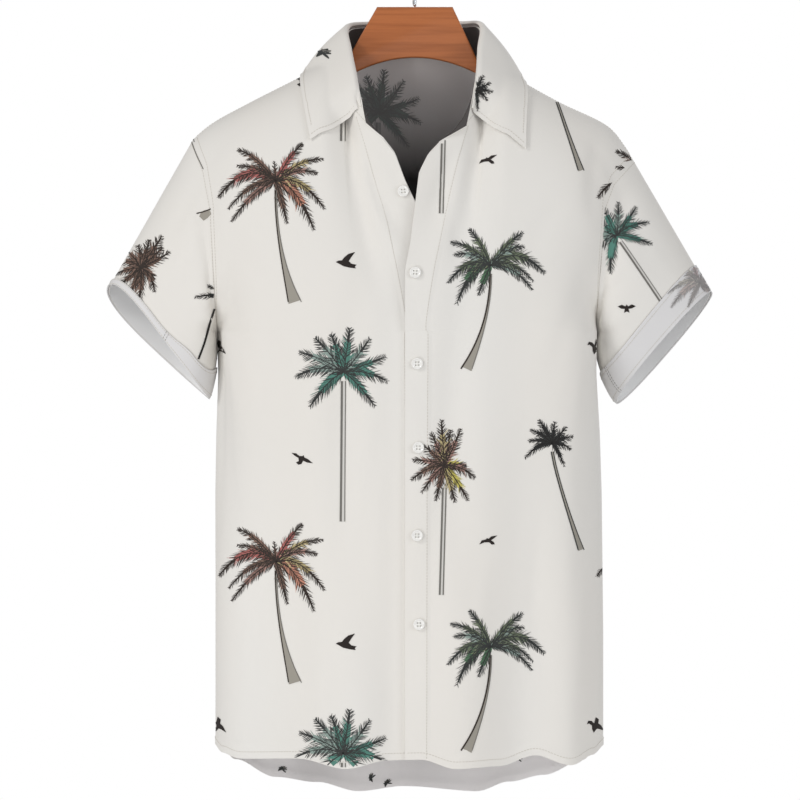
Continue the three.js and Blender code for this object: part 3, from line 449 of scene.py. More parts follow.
# The repeat: motif, x, z
TILE = [
    ("red", -138.1, -248.9), ("teal", -70.7, -438.3), ("green", 74.8, -333.1), ("brown", 29.0, -530.8),
    ("black", 136.1, -509.2), ("soaring", -68.0, -329.0), ("gliding", -112.0, -524.0),
    ("passing", 72.5, -227.0), ("turning", 180.0, -413.5),
]

# Single motifs: motif, x, z, turn in degrees, mirrored
RIGHT_SLEEVE_PRINT = [
    ("dusky_crown", -274, -334, -38, False), ("black_crown", -189, -367.5, -35, False),
    ("bent_line", -200.5, -375, 0, False), ("stub", -216, -219.5, 0, False), ("wedge", -210, -280, 0, False),
]
LEFT_SLEEVE_PRINT = [
    ("teal_small", 201, -302, 35, False), ("facing", 211, -374, 0, False),
]
SLEEVE_PRINTS = {"right": RIGHT_SLEEVE_PRINT, "left": LEFT_SLEEVE_PRINT}
LEFT_CUFF_PRINT = [("red_small", 285, -349, -12, True)]
LEAF_PRINT = [
    ("black_small", 60, -158, -22, False), ("tuft", -92, -118, 0, False),
]
SCALED_DRAWINGS = {
    "bit": ("tuft", 0.6),
    "black_small": ("black_crown", 0.8),
    "teal_small": ("teal", 0.8),
    "red_small": ("red_crown", 0.62),
}
HEM_INSIDE_PRINT = [
    ("bit", -135, -842, 0, False), ("bit", -28, -857, 40, False), ("bit", -44, -852, 80, False),
    ("bit", 105, -831, 0, False),
]

# Camera and light
PICTURE_X = -0.015
PICTURE_Z = -0.466
PICTURE_WIDTH = 0.8
CAMERA_DISTANCE = 6.0
FOCUS_PLANE_Y = -0.04
SENSOR = 36
FLOOR_Z = -1.12
FLOOR_HALF = 0.85
AMBIENT = (0.46, 0.46, 0.465, 1)
MIDDLE = (0, 0, -0.45)
# Area lights: name, place, aim, size, power, colour
LIGHTS = [
    ("key", (-2.8, -2.3, 1.5), MIDDLE, (1.0, 1.0), 41, (1.0, 0.985, 0.96)),
    ("fill", (2.8, -2.2, 0.2), MIDDLE, (1.6, 1.6), 25, (0.96, 0.98, 1.0)),
    ("front", (0.4, -3.2, -1.5), MIDDLE, (2.0, 0.8), 3, (1.0, 1.0, 1.0)),
    ("face", (0.5, -3.4, -0.1), (0, 0, -0.2), (1.0, 1.0), 4, (1.0, 1.0, 1.0)),
    ("rear", (0.6, 3.2, 0.2), MIDDLE, (1.8, 1.8), 36, (1.0, 1.0, 1.0)),
    ("low", (-1.5, -2.0, -1.3), (-0.25, 0, -0.42), (0.9, 0.9), 12, (1.0, 1.0, 1.0)),
]


def mix(a, b, t):
    return a + (b - a) * t


def ease(t):
    k = np.clip(t, 0, 1)
    return k * k * (3 - 2 * k)


def read_table(rows, at, column=1, eased=False):
    """Reads a table at some places, with straight or eased steps between its rows."""
    table = np.array(sorted(rows), float)
    keys = table[:, 0]
    values = table[:, column]
    i = np.clip(np.searchsorted(keys, at) - 1, 0, len(keys) - 2)
    t = np.clip((at - keys[i]) / (keys[i + 1] - keys[i]), 0, 1)
    if eased:
        t = ease(t)
    return values[i] + (values[i + 1] - values[i]) * t


def curve_through(points, t):
    """Points of a centripetal Catmull-Rom curve at shares t of its knots."""
    p = np.array(points, float)
    padded = np.vstack([2 * p[0] - p[1], p, 2 * p[-1] - p[-2]])
    last = len(p) - 1
    s = np.clip(np.atleast_1d(t), 0, 1) * last
    i = np.minimum(s.astype(int), last - 1)
    w = (s - i)[:, None]
    x0, x1, x2, x3 = (padded[i + k] for k in range(4))
    pairs = ((x0, x1), (x1, x2), (x2, x3))
    d0, d1, d2 = (np.sum((b - a) ** 2, axis=1, keepdims=True) ** 0.25 for a, b in pairs)
    t1 = ((x1 - x0) / d0 - (x2 - x0) / (d0 + d1) + (x2 - x1) / d1) * d1
    t2 = ((x2 - x1) / d1 - (x3 - x1) / (d1 + d2) + (x3 - x2) / d2) * d1
    c2 = -3 * x1 + 3 * x2 - 2 * t1 - t2
    c3 = 2 * x1 - 2 * x2 + t1 + t2
    return x1 + t1 * w + c2 * w**2 + c3 * w**3


def curve_at_length(points, share):
    """Points of the same curve at shares of its length."""
    t = np.linspace(0, 1, SECTION_STEPS + 1)
    line = curve_through(points, t)
    lengths = np.concatenate([[0], np.cumsum(np.linalg.norm(np.diff(line, axis=0), axis=1))])
    flat = np.interp(np.ravel(share) * lengths[-1], lengths, t)
    return curve_through(points, flat).reshape(*np.shape(share), 3)


# Torso section at a height: a superellipse, boxy at the underarm and rounder below
def torso_section(z, face):
    left = read_table(TORSO_EDGES, z, 1)
    right = read_table(TORSO_EDGES, z, 2)
    below = UNDERARM_Z - z
    depth = (FRONT_DEPTH if face < 0 else BACK_DEPTH) * mix(1, HEM_DEPTH_SHARE, ease(below / BODY_LENGTH))
    power = mix(BOXY_POWER, ROUND_POWER, ease(below / ROUNDING_DROP))
    return (left + right) / 2, (right - left) / 2, depth, power


def start_x(sizes, face, z):
    if face < 0:
        return UNDER_EDGE_X if sizes["side"] < 0 else TOP_EDGE_X
    return float(torso_section(np.array(z, float), face)[0])


def half_line(sizes, face, z):
    """x and y of a half section at even shares, from the middle round to the side seam."""
    centre, half, depth, power = (float(v) for v in torso_section(np.array(z, float), face))
    turn = np.linspace(0, math.pi, SECTION_STEPS + 1)
    angle = math.pi - turn if sizes["side"] > 0 else turn
    c, s = np.cos(angle), np.sin(angle)
    x = centre + half * np.sign(c) * np.abs(c) ** (2 / power)
    y = face * depth * np.abs(s) ** (2 / power)
    begin = start_x(sizes, face, z)
    first = int(np.argmax((x - begin) * sizes["side"] > 0))
    t = (begin - x[first - 1]) / (x[first] - x[first - 1])
    x = np.concatenate([[begin], x[first:]])
    y = np.concatenate([[mix(y[first - 1], y[first], t)], y[first:]])
    lengths = np.concatenate([[0], np.cumsum(np.hypot(np.diff(x), np.diff(y)))])
    wanted = np.linspace(0, lengths[-1], LINE_SAMPLES)
    return np.stack([np.interp(wanted, lengths, x), np.interp(wanted, lengths, y)], axis=1)


def make_panel(sizes, face):
    levels = UNDERARM_Z - LEVEL_STEP * np.arange(LEVELS)
    lines = np.stack([half_line(sizes, face, z) for z in levels])
    return {"sizes": sizes, "face": face, "lines": lines}


def on_section(panel, share, z):
    lines = panel["lines"]
    u = np.clip(share, 0, 1) * (LINE_SAMPLES - 1)
    v = np.clip((UNDERARM_Z - z) / LEVEL_STEP, 0, LEVELS - 1)
    i = np.minimum(u.astype(int), LINE_SAMPLES - 2)
    j = np.minimum(v.astype(int), LEVELS - 2)
    a = (u - i)[..., None]
    b = (v - j)[..., None]
    upper = mix(lines[j, i], lines[j, i + 1], a)
    lower = mix(lines[j + 1, i], lines[j + 1, i + 1], a)
    flat = mix(upper, lower, b)
    return np.concatenate([flat, z[..., None]], axis=-1)


def lower_points(panel, share, height):
    probe = on_section(panel, share, np.full(share.shape, float(HEM_PROBE_Z)))
    table = FRONT_HEM if panel["face"] < 0 else BACK_HEM
    hem = read_table(table, probe[..., 0], eased=True)
    return on_section(panel, share, mix(hem, UNDERARM_Z, height))


def top_points(panel, share):
    sizes = panel["sizes"]
    outer = curve_at_length(sizes["shoulder"], np.clip((share - NECK_SHARE) / (1 - NECK_SHARE), 0, 1))
    k = np.clip(share / NECK_SHARE, 0, 1)
    place = 3 * k / 5 if panel["face"] < 0 else (5 - 2 * k) / 5
    inner = curve_through(sizes["seam"], place.ravel()).reshape(*share.shape, 3)
    return np.where((share >= NECK_SHARE)[..., None], outer, inner)


def neck_pull(panel, share, up, rise):
    outer = mix(up, rise**SIDE_HOLD, ease((share - NECK_SHARE) / PULL_FADE))
    if panel["face"] > 0:
        return outer
    table = UNDER_EDGE if panel["sizes"]["side"] < 0 else TOP_EDGE
    z = mix(UNDERARM_Z, table[-1][0], up)
    edge = (read_table(table, z) - table[0][1]) / (table[-1][1] - table[0][1])
    return mix(edge, outer, ease(share / EDGE_FADE))


def upper_points(panel, share, rise):
    base = on_section(panel, share, np.full(share.shape, float(UNDERARM_Z)))
    top = top_points(panel, share)
    neck_power = FRONT_NECK_POWER if panel["face"] < 0 else BACK_NECK_POWER
    power = mix(neck_power, SHOULDER_POWER, ease(share / POWER_FADE) ** POWER_FADE_CURVE)
    turn = rise * math.pi / 2
    soft = mix(NECK_SOFT_START, 1, ease(share / POWER_FADE))
    full = rise >= 1
    out = np.where(full, 0, 1 - (1 - np.clip(np.cos(turn), 0, 1) ** power) ** soft)
    up = np.where(full, 1, np.sin(turn) ** power)
    z = mix(UNDERARM_Z, top[..., 2], up)
    pull = neck_pull(panel, share, up, rise)
    x = mix(base[..., 0], top[..., 0], pull)
    return np.stack([x, mix(top[..., 1], base[..., 1], out), z], axis=-1)


def armhole_points(panel, rise):
    table = panel["sizes"]["armhole"]
    z = mix(UNDERARM_Z, table[-1][0], (1 - np.cos(math.pi * rise)) / 2)
    swing = np.clip(np.sin(math.pi * rise), 0, None) ** ARMHOLE_ROUNDNESS
    y = panel["face"] * ARMHOLE_HALF_DEPTH * np.where(rise >= 1, 0, swing)
    return np.stack([read_table(table, z), y, z], axis=-1)


def chest_points(panel, column, rise):
    bite = np.clip(np.sin(math.pi * rise) * (1 - rise), 0, None)
    share = 1 - ARMHOLE_BITE * np.sqrt(bite)
    step = armhole_points(panel, rise) - upper_points(panel, share, rise)
    return upper_points(panel, column * share, rise) + step * (column**3)[..., None]


def outward_of(points, face):
    centre, half, depth, power = torso_section(np.minimum(points[..., 2], UNDERARM_Z), face)
    u = (points[..., 0] - centre) / half
    v = points[..., 1] / depth
    nx = np.sign(u) * np.minimum(1, np.abs(u)) ** (power - 1) / half
    ny = face * np.minimum(1, np.abs(v)) ** (power - 1) / depth
    length = np.maximum(np.hypot(nx, ny), 1e-9)
    return np.stack([nx / length, ny / length, np.zeros_like(nx)], axis=-1)


def fold_height(points, face):
    down = ease((UNDERARM_Z - points[..., 2]) / BODY_LENGTH)
    fade = np.where(points[..., 2] > UNDERARM_Z, ease(1 - (points[..., 2] - UNDERARM_Z) / FOLD_FADE), 1)
    height = np.zeros(points.shape[:-1])
    for x, width, chest, hem in FRONT_FOLDS if face < 0 else BACK_FOLDS:
        height += mix(chest, hem, down) * np.exp(-(((points[..., 0] - x) / width) ** 2))
    return height * fade


def roll_height(points):
    height = np.zeros(points.shape[:-1])
    for top_x, top_z, low_x, low_z, width, rise in NECK_ROLLS:
        t = (points[..., 2] - top_z) / (low_z - top_z)
        across = (points[..., 0] - mix(top_x, low_x, t)) / width
        height += rise * np.sin(math.pi * np.clip(t, 0, 1)) * np.exp(-(across**2))
    return height


def crease_height(points, creases):
    """Each crease is a straight or slightly bowed trough or ridge that dies out at both ends."""
    height = np.zeros(points.shape[:-1])
    for x0, z0, x1, z1, width, rise in creases:
        run = np.hypot(x1 - x0, z1 - z0)
        dx, dz = (x1 - x0) / run, (z1 - z0) / run
        px, pz = points[..., 0] - x0, points[..., 2] - z0
        t = (px * dx + pz * dz) / run
        bow = CREASE_BOW * run * np.sin(math.pi * np.clip(t, 0, 1))
        across = (px * dz - pz * dx - bow) / (width * mix(*CREASE_WIDENING, np.clip(t, 0, 1)))
        height += rise * np.sin(math.pi * np.clip(t, 0, 1)) ** CREASE_ENDS * np.exp(-(across**2))
    return height


def panel_points(panel, column, height):
    column, height = np.broadcast_arrays(np.asarray(column, float), np.asarray(height, float))
    face = panel["face"]
    rise = np.clip(height - 1, 0, 1)
    low = lower_points(panel, column, np.minimum(height, 1))
    high = chest_points(panel, column, rise)
    points = np.where((height <= 1)[..., None], low, high)
    to_side = ease((1 - column) / SIDE_FADE)
    to_top = ease((1 - rise) / TOP_FADE)
    creases = crease_height(points, FRONT_CREASES if face < 0 else BACK_CREASES)
    lift = (fold_height(points, face) + creases) * to_side * to_top
    points = points + outward_of(points, face) * lift[..., None]
    if face < 0:
        points[..., 1] -= roll_height(points) * to_top
        if panel["sizes"]["side"] > 0:
            step = OVERLAP_LIFT + NECK_LIFT * ease(rise / OVERLAP_FADE)
            near = ease(1 - (points[..., 0] - UNDER_EDGE_X) / LIFT_FADE)
            points[..., 1] -= step * near * ease((1 - rise) / OVERLAP_FADE)
    return points


def panel_columns(is_front):
    band = [0, 0.5, 1, 1 + BAND_STEP / FRONT_BAND]
    head = [b * FRONT_BAND / PANEL_WIDTH for b in band] if is_front else BACK_COLUMNS
    neck = np.linspace(head[-1], NECK_SHARE, NECK_COLUMNS)[1:]
    outer = np.linspace(NECK_SHARE, 1, SHOULDER_COLUMNS)[1:]
    first = np.linspace(0, head[1], 4)[:-1]
    second = np.linspace(head[1], head[2], 5)[:-1]
    return np.concatenate([first, second, head[2:], neck, outer])


def panel_heights():
    lower = np.linspace(HEM_TURN + HEM_STEP, 1, LOWER_ROWS)
    upper = 1 + (np.arange(1, UPPER_ROWS + 1) / UPPER_ROWS) ** UPPER_ROW_BIAS
    return np.concatenate([[0, HEM_TURN / 2, HEM_TURN], lower, upper])


# A grid is rows of points, with a normal and a wall thickness at each
def make_grid(points, wall=CLOTH, closed=False):
    if closed:
        across = np.roll(points, -1, axis=1) - np.roll(points, 1, axis=1)
    else:
        ahead = np.concatenate([points[:, 1:], points[:, -1:]], axis=1)
        across = ahead - np.concatenate([points[:, :1], points[:, :-1]], axis=1)
    up = np.concatenate([points[1:], points[-1:]]) - np.concatenate([points[:1], points[:-1]])
    normals = unit(np.cross(across, up))
    walls = np.full(points.shape[:2], float(wall))
    return {"points": points, "normals": normals, "walls": walls, "closed": closed}


def unit(vectors):
    return vectors / np.maximum(np.linalg.norm(vectors, axis=-1, keepdims=True), 1e-9)


def share_normals(grids):
    """Where pieces meet at a seam they share one normal."""
    points = np.concatenate([g["points"].reshape(-1, 3) for g in grids])
    normals = np.concatenate([g["normals"].reshape(-1, 3) for g in grids])
    _, inverse = np.unique(np.round(points, 2), axis=0, return_inverse=True)
    inverse = inverse.ravel()
    sums = np.zeros((inverse.max() + 1, 3))
    np.add.at(sums, inverse, normals)
    shared = unit(sums[inverse])
    start = 0
    for g in grids:
        count = g["points"].shape[0] * g["points"].shape[1]
        g["normals"] = shared[start : start + count].reshape(g["points"].shape)
        start += count


def front_grid(sizes):
    panel = make_panel(sizes, -1)
    columns = panel_columns(True)
    heights = panel_heights()
    points = panel_points(panel, columns[None, :], heights[:, None])
    order = np.arange(len(columns))
    if sizes["side"] < 0:
        order = order[::-1]
    grid = make_grid(points[:, order])
    band = columns[order] <= FRONT_BAND / PANEL_WIDTH + 1e-6
    grid["walls"][:, band] = DOUBLED
    grid["walls"][heights <= HEM_TURN] = DOUBLED
    return grid, panel


def back_grid():
    columns = panel_columns(False)
    heights = panel_heights()
    right = make_panel(RIGHT_SIDE, 1)
    left = make_panel(LEFT_SIDE, 1)
    left_half = panel_points(left, columns[None, ::-1], heights[:, None])
    right_half = panel_points(right, columns[None, 1:], heights[:, None])
    grid = make_grid(np.concatenate([left_half, right_half], axis=1))
    grid["walls"][heights <= HEM_TURN] = DOUBLED
    return grid, (right, left)


# Sleeves start at the points of the armhole, round from the underarm over the front
def armhole_ring(sizes):
    heights = panel_heights()
    heights = heights[heights >= 1]
    one = np.ones(len(heights))
    front = panel_points(make_panel(sizes, -1), one, heights)
    back = panel_points(make_panel(sizes, 1), one, heights)
    return np.concatenate([front, back[1:-1][::-1]]), len(heights) - 1


def ring_shares(ring, top):
    steps = np.linalg.norm(np.roll(ring, -1, axis=0) - ring, axis=1)
    up = np.concatenate([[0], np.cumsum(steps[:top])])
    down = np.concatenate([[0], np.cumsum(steps[top:])])
    return np.concatenate([up / up[-1], 1 + (down / down[-1])[1:-1]])


def signed_power(value, power):
    return np.sign(value) * np.abs(value) ** power


def cuff_points(sizes, shares):
    cuff = sizes["cuff"]
    angle = shares * math.pi
    up = (1 - signed_power(np.cos(angle), 2 / CUFF_POWER)) / 2
    sideways = signed_power(np.sin(angle), 2 / CUFF_POWER)
    tilt = mix(cuff["tilts"][0], cuff["tilts"][1], up) * sideways
    x = mix(cuff["bottom"][0], cuff["top"][0], up) - sizes["side"] * mix(*TILT_SIDEWAYS, up) * tilt
    z = mix(cuff["bottom"][1], cuff["top"][1], up) + mix(*TILT_UP, up) * tilt
    return np.stack([x, -CUFF_HALF_DEPTH * sideways, z], axis=-1)


def sleeve_creases(shares, steps):
    height = np.zeros((len(steps), len(shares)))
    for share0, step0, share1, step1, width, rise in SLEEVE_CREASES:
        t = np.clip((steps - step0) / (step1 - step0), 0, 1)[:, None]
        across = (shares[None, :] - mix(share0, share1, t)) / width
        height += rise * np.sin(math.pi * t) ** SLEEVE_CREASE_ENDS * np.exp(-(across**2))
    dip = np.exp(-(((steps - DIP_STEP) / DIP_WIDTH) ** 2))[:, None]
    return height - DIP_DEPTH * dip * np.clip(np.sin(math.pi * shares), 0, None)[None]


def sleeve_grid(sizes):
    ring, top = armhole_ring(sizes)
    shares = ring_shares(ring, top)
    steps = np.linspace(0, 1, SLEEVE_ROWS + 1)
    end = cuff_points(sizes, shares)
    points = mix(ring[None], end[None], steps[:, None, None])
    low = ease((1 + np.cos(shares * math.pi)) / 2)
    bulge = np.clip(np.sin(math.pi * steps), 0, None)[:, None]
    points[..., 0] += sizes["side"] * low[None] * UNDERARM_SPREADS[sizes["side"]] * bulge**0.6
    points[..., 1] -= np.sin(shares * math.pi)[None] * SLEEVE_SWELL * bulge
    grid = make_grid(orient_rings(sizes, points), closed=True)
    bumps = orient_rings(sizes, sleeve_creases(shares, steps)[..., None])
    return make_grid(grid["points"] + grid["normals"] * bumps, closed=True)


# Rings run so that the normals point out of the sleeve
def orient_rings(sizes, rows):
    if sizes["side"] < 0:
        return rows
    return np.concatenate([rows[:, :1], rows[:, 1:][:, ::-1]], axis=1)


def cuff_grid(sizes, sleeve):
    """The turned-up cuff lies on the end of the sleeve, on its outside."""
    points = sleeve["points"][::-1]
    normals = sleeve["normals"][::-1]
    lengths = np.cumsum(np.linalg.norm(np.diff(points, axis=0), axis=2), axis=0)
    lengths = np.concatenate([np.zeros((1, points.shape[1])), lengths])
    count = points.shape[1]
    share = np.abs(1 - 2 * np.arange(count) / count)
    band = read_table(sizes["cuff"]["bands"], share, eased=True)
    rows = []
    for r in range(CUFF_ROWS + 1):
        at = mix(band, -CUFF_OVERHANG, r / CUFF_ROWS)
        row = np.empty((count, 3))
        for c in range(count):
            place = [np.interp(at[c], lengths[:, c], points[:, c, k]) for k in range(3)]
            normal = [np.interp(at[c], lengths[:, c], normals[:, c, k]) for k in range(3)]
            over = min(0, at[c]) * unit(points[1, c] - points[0, c])
            row[c] = np.array(place) + over + unit(np.array(normal)) * (CAD_CLOTH + LAY_GAP)
        rows.append(row)
    return make_grid(np.array(rows), CUFF_WALL, closed=True)


# Collar: the stand rises from the neck seam, and the leaf turns over it
def neck_shares():
    front = panel_columns(True)
    front = front[front <= NECK_SHARE + 1e-9]
    back = panel_columns(False)
    back = back[back <= NECK_SHARE + 1e-9][::-1]
    return np.concatenate([3 * front / NECK_SHARE / 5, (5 - 2 * back[1:] / NECK_SHARE) / 5])


def collar_line(name, shares):
    right = curve_through(RIGHT_SIDE[name], shares)
    left = curve_through(LEFT_SIDE[name], shares[:-1][::-1])
    return np.concatenate([right, left])


def stand_grid():
    shares = neck_shares()
    seam = collar_line("seam", shares)[::-1]
    roll = collar_line("roll", shares)[::-1]
    rows = [mix(seam, roll, r / STAND_ROWS) for r in range(STAND_ROWS + 1)]
    return make_grid(np.array(rows), STAND_WALL)


def keep_off(points, trees, clearance):
    """Moves points out until they stand a clearance off the nearest cloth."""
    for i, point in enumerate(points):
        best = None
        for tree in trees:
            place, normal, _, gap = tree.find_nearest(Vector(point))
            if place is not None and (best is None or gap < best[2]):
                best = (place, normal, gap)
        height = (Vector(point) - best[0]).dot(best[1])
        if height < clearance:
            points[i] = point + np.array(best[1]) * (clearance - height)
    return points


def leaf_grid(stand, trees):
    shares = neck_shares()
    spread = mix(LEAF_START / 5, 1, shares)
    seam = collar_line("seam", spread)[::-1]
    roll = collar_line("roll", spread)[::-1]
    edge = collar_line("leaf_edge", shares)[::-1]
    up = unit(roll - seam)
    stand_places = np.concatenate([shares, 2 - shares[:-1][::-1]])[::-1]
    leaf_places = np.concatenate([spread, 2 - spread[:-1][::-1]])[::-1]
    top = stand["normals"][-1]
    out = [np.interp(-leaf_places, -stand_places, top[:, k]) for k in range(3)]
    out = unit(np.stack(out, axis=1))

    def place(rise, aside):
        return roll + up * rise + out * aside

    rows = [place(LEAF_ROLL_GAP, CAD_CLOTH / 2)]
    rows += [place(LEAF_ROLL_HEIGHT * up_share, LEAF_ROLL_WIDTH * aside) for up_share, aside in LEAF_ROLL]
    shoulder = place(LEAF_ROLL_HEIGHT * LEAF_ROLL_END[0], LEAF_ROLL_WIDTH * LEAF_ROLL_END[1])
    for r in range(LEAF_ROWS):
        t = r / (LEAF_ROWS - 1)
        line = mix(shoulder, edge, t) + out * (LEAF_CROWN * math.sin(math.pi * t))
        rows.append(keep_off(line, trees, LEAF_CLEARANCE))
    rows = smooth_rows(np.array(rows))
    return make_grid(rows[::-1], LEAF_WALL)


def smooth_rows(rows):
    """Eases small steps inside the leaf, with its edges held."""
    for _ in range(LEAF_SMOOTH_ROUNDS):
        mean = (rows[1:-1, :-2] + rows[1:-1, 2:] + rows[:-2, 1:-1] + rows[2:, 1:-1]) / 4
        rows[6:-1, 1:-1] = mix(rows[6:-1, 1:-1], mean[5:], 0.5)
    return rows


# Meshes
def walls_of(grid):
    half = grid["walls"][..., None] / 2
    return grid["points"] + grid["normals"] * half, grid["points"] - grid["normals"] * half


def grid_quads(down, across, closed, start=0, flipped=False):
    r, c = np.meshgrid(np.arange(down - 1), np.arange(across if closed else across - 1), indexing="ij")
    right = (c + 1) % across
    here, below = r * across, (r + 1) * across
    quads = np.stack([here + c, here + right, below + right, below + c], axis=-1)
    quads = quads.reshape(-1, 4) + start
    return quads[:, ::-1] if flipped else quads


def rim_quads(grid):
    down, across = grid["points"].shape[:2]
    inner = down * across
    c = np.arange(across if grid["closed"] else across - 1)
    right = (c + 1) % across
    last = (down - 1) * across
    rims = [
        np.stack([c, c + inner, right + inner, right], axis=-1),
        np.stack([last + c, last + right, last + right + inner, last + c + inner], axis=-1),
    ]
    if not grid["closed"]:
        a = np.arange(down - 1) * across
        b = a + across
        e = across - 1
        rims.append(np.stack([a, b, b + inner, a + inner], axis=-1))
        rims.append(np.stack([a + e, a + e + inner, b + e + inner, b + e], axis=-1))
    return np.concatenate(rims)


def new_mesh(name, vertices, faces, materials, indices=None, smooth=True):
    mesh = bpy.data.meshes.new(name)
    mesh.from_pydata((np.asarray(vertices) * MM).tolist(), [], [list(map(int, f)) for f in faces])
    for material in materials:
        mesh.materials.append(material)
    if indices is not None:
        mesh.polygons.foreach_set("material_index", np.asarray(indices, dtype=np.int32))
    mesh.polygons.foreach_set("use_smooth", [smooth] * len(mesh.polygons))
    mesh.update()
    obj = bpy.data.objects.new(name, mesh)
    bpy.context.scene.collection.objects.link(obj)
    return obj


def shell(name, grid, right_side, wrong_side):
    outer, inner = walls_of(grid)
    down, across = grid["points"].shape[:2]
    count = down * across
    vertices = np.concatenate([outer.reshape(-1, 3), inner.reshape(-1, 3)])
    faces_out = grid_quads(down, across, grid["closed"])
    faces_in = grid_quads(down, across, grid["closed"], count, True)
    rims = rim_quads(grid)
    faces = np.concatenate([faces_out, faces_in, rims])
    indices = np.concatenate([np.zeros(len(faces_out)), np.ones(len(faces_in)), np.zeros(len(rims))])
    obj = new_mesh(name, vertices, faces, [right_side, wrong_side], indices)
    obj.data.set_sharp_from_angle(angle=math.radians(50))
    return obj


def surface_tree(grid, inside=False):
    outer, inner = walls_of(grid)
    down, across = grid["points"].shape[:2]
    side = inner if inside else outer
    quads = grid_quads(down, across, grid["closed"], 0, inside)
    return BVHTree.FromPolygons([Vector(p) for p in side.reshape(-1, 3)], quads.tolist())


def middle_tree(grid):
    down, across = grid["points"].shape[:2]
    quads = grid_quads(down, across, grid["closed"])
    return BVHTree.FromPolygons([Vector(p) for p in grid["points"].reshape(-1, 3)], quads.tolist())


# Sewing: short dashes of thread along a line on the cloth
def dash_places(path):
    steps = np.linalg.norm(np.diff(path, axis=0), axis=1)
    lengths = np.concatenate([[0], np.cumsum(steps)])
    starts = np.arange(0, lengths[-1] - DASH, DASH_PITCH)
    ends = starts + DASH
    at = [np.stack([np.interp(s, lengths, path[:, k]) for k in range(3)], axis=1) for s in (starts, ends)]
    return zip(*at)


def stitch_boxes(tree, path):
    vertices, faces = [], []
    for a, b in dash_places(np.asarray(path)):
        pa, na, _, _ = tree.find_nearest(Vector(a))
        pb, nb, _, _ = tree.find_nearest(Vector(b))
        along = pb - pa
        if along.length < DASH / 3:
            continue
        normal = (na + nb).normalized()
        aside = along.cross(normal).normalized() * (THREAD_WIDTH / 2)
        base = len(vertices)
        for p in (pa, pb):
            vertices += [p - aside, p + aside, p + aside * 0.6 + normal * THREAD_HEIGHT]
            vertices.append(p - aside * 0.6 + normal * THREAD_HEIGHT)
        faces += [[base + k for k in f] for f in STITCH_FACES]
    return vertices, faces


def stitch_mesh(name, tree, paths, material):
    vertices, faces = [], []
    for path in paths:
        more, quads = stitch_boxes(tree, path)
        faces += [[len(vertices) + k for k in f] for f in quads]
        vertices += more
    return new_mesh(name, vertices, faces, [material], smooth=False)


def front_stitch_paths(panel):
    heights = np.linspace(0.004, 1.96, 300)
    inner = panel_points(panel, np.full(300, (FRONT_BAND - BAND_SEAM_INSET) / PANEL_WIDTH), heights)
    columns = np.linspace(0.01, 0.99, 240)
    hem = panel_points(panel, columns, np.full(240, HEM_TURN * HEM_SEAM))
    shoulder = panel_points(panel, np.linspace(NECK_SHARE + 0.01, 0.98, 120), np.full(120, SHOULDER_SEAM))
    arm_heights = np.linspace(*ARMHOLE_SEAM_SPAN, 140)
    armhole = panel_points(panel, np.full(140, ARMHOLE_SEAM), arm_heights)
    return [inner, hem, shoulder, armhole]


def back_stitch_paths(panels):
    paths = []
    for panel in panels:
        columns = np.linspace(0.0, 0.99, 260)
        paths.append(panel_points(panel, columns, np.full(260, HEM_TURN * HEM_SEAM)))
        arm_heights = np.linspace(*ARMHOLE_SEAM_SPAN, 140)
        paths.append(panel_points(panel, np.full(140, ARMHOLE_SEAM), arm_heights))
    return paths


def grid_row(grid, row):
    line = grid["points"][row]
    return np.concatenate([line, line[:1]])


def side_seam(grid, share):
    """Two close lines that run down a cuff at a share of its way round."""
    column = int(share * grid["points"].shape[1])
    line = grid["points"][:, column]
    beside = grid["points"][:, column + 1]
    return [line, line + unit(beside - line) * SEAM_GAP]


def between_rows(grid, row, share):
    return mix(grid["points"][row], grid["points"][row + 1], share)


def inside_edge(grid, inset):
    """A line that runs a given distance inside the free edges of the collar leaf."""
    points = grid["points"]
    low = points[0] + unit(points[1] - points[0]) * inset
    first = points[:-6, 0] + unit(points[:-6, 1] - points[:-6, 0]) * inset
    last = points[:-6, -1] + unit(points[:-6, -2] - points[:-6, -1]) * inset
    cut = 2
    return [low[cut:-cut], first[1:], last[1:]]


# Print: palms and birds drawn in the plane of the front, then laid on the cloth
def frond_shapes(tip, arch, width, wash, ink, rng):
    end = np.array(tip, float)
    bend = end * 0.5 + np.array([0, arch])
    reach = np.linalg.norm(bend) + np.linalg.norm(end - bend)
    t = np.linspace(0, 1, max(6, int(reach / LEAFLET_STEP)))[:, None]
    line = 2 * t * (1 - t) * bend + t**2 * end
    run = unit(2 * (1 - t) * bend + 2 * t * (end - bend))
    side = np.stack([-run[:, 1], run[:, 0]], axis=1)
    swell = np.sin(math.pi * np.clip(t[:, 0] ** 0.7 * 0.9 + 0.08, 0, 1)) ** FROND_ROUNDNESS
    body = swell * width * FROND_FULLNESS
    washed = int(len(line) * WASHED_LENGTH)
    end_part = slice(washed - 1, -1)
    shapes = [
        (wash, WASH_LIFT, strip(line[:washed], side[:washed], body[:washed] * WASH_BREADTH)),
        (ink, WASH_LIFT, strip(line[end_part], side[end_part], body[end_part] * TIP_BREADTH)),
    ]
    for i in range(1, len(line)):
        for hand in (-1, 1):
            base = mix(line[i - 1], line[i], rng.uniform(0, 0.6))
            forward = run[i] * rng.uniform(*LEAFLET_FORWARD)
            way = unit(forward + side[i] * hand * rng.uniform(*LEAFLET_ASIDE) + LEAFLET_DROOP)
            tip_at = base + way * (body[i] * rng.uniform(*LEAFLET_LENGTH) + 1.2)
            colour = wash if i < washed and rng.uniform() < WASH_SHARE else ink
            half = rng.uniform(*LEAFLET_HALF)
            shapes.append((colour, INK_LIFT, leaflet(base, tip_at, run[i] * half)))
    shapes.append((ink, RIB_LIFT, strip(line, side, mix(0.6, 0.3, t[:, 0]))))
    return shapes


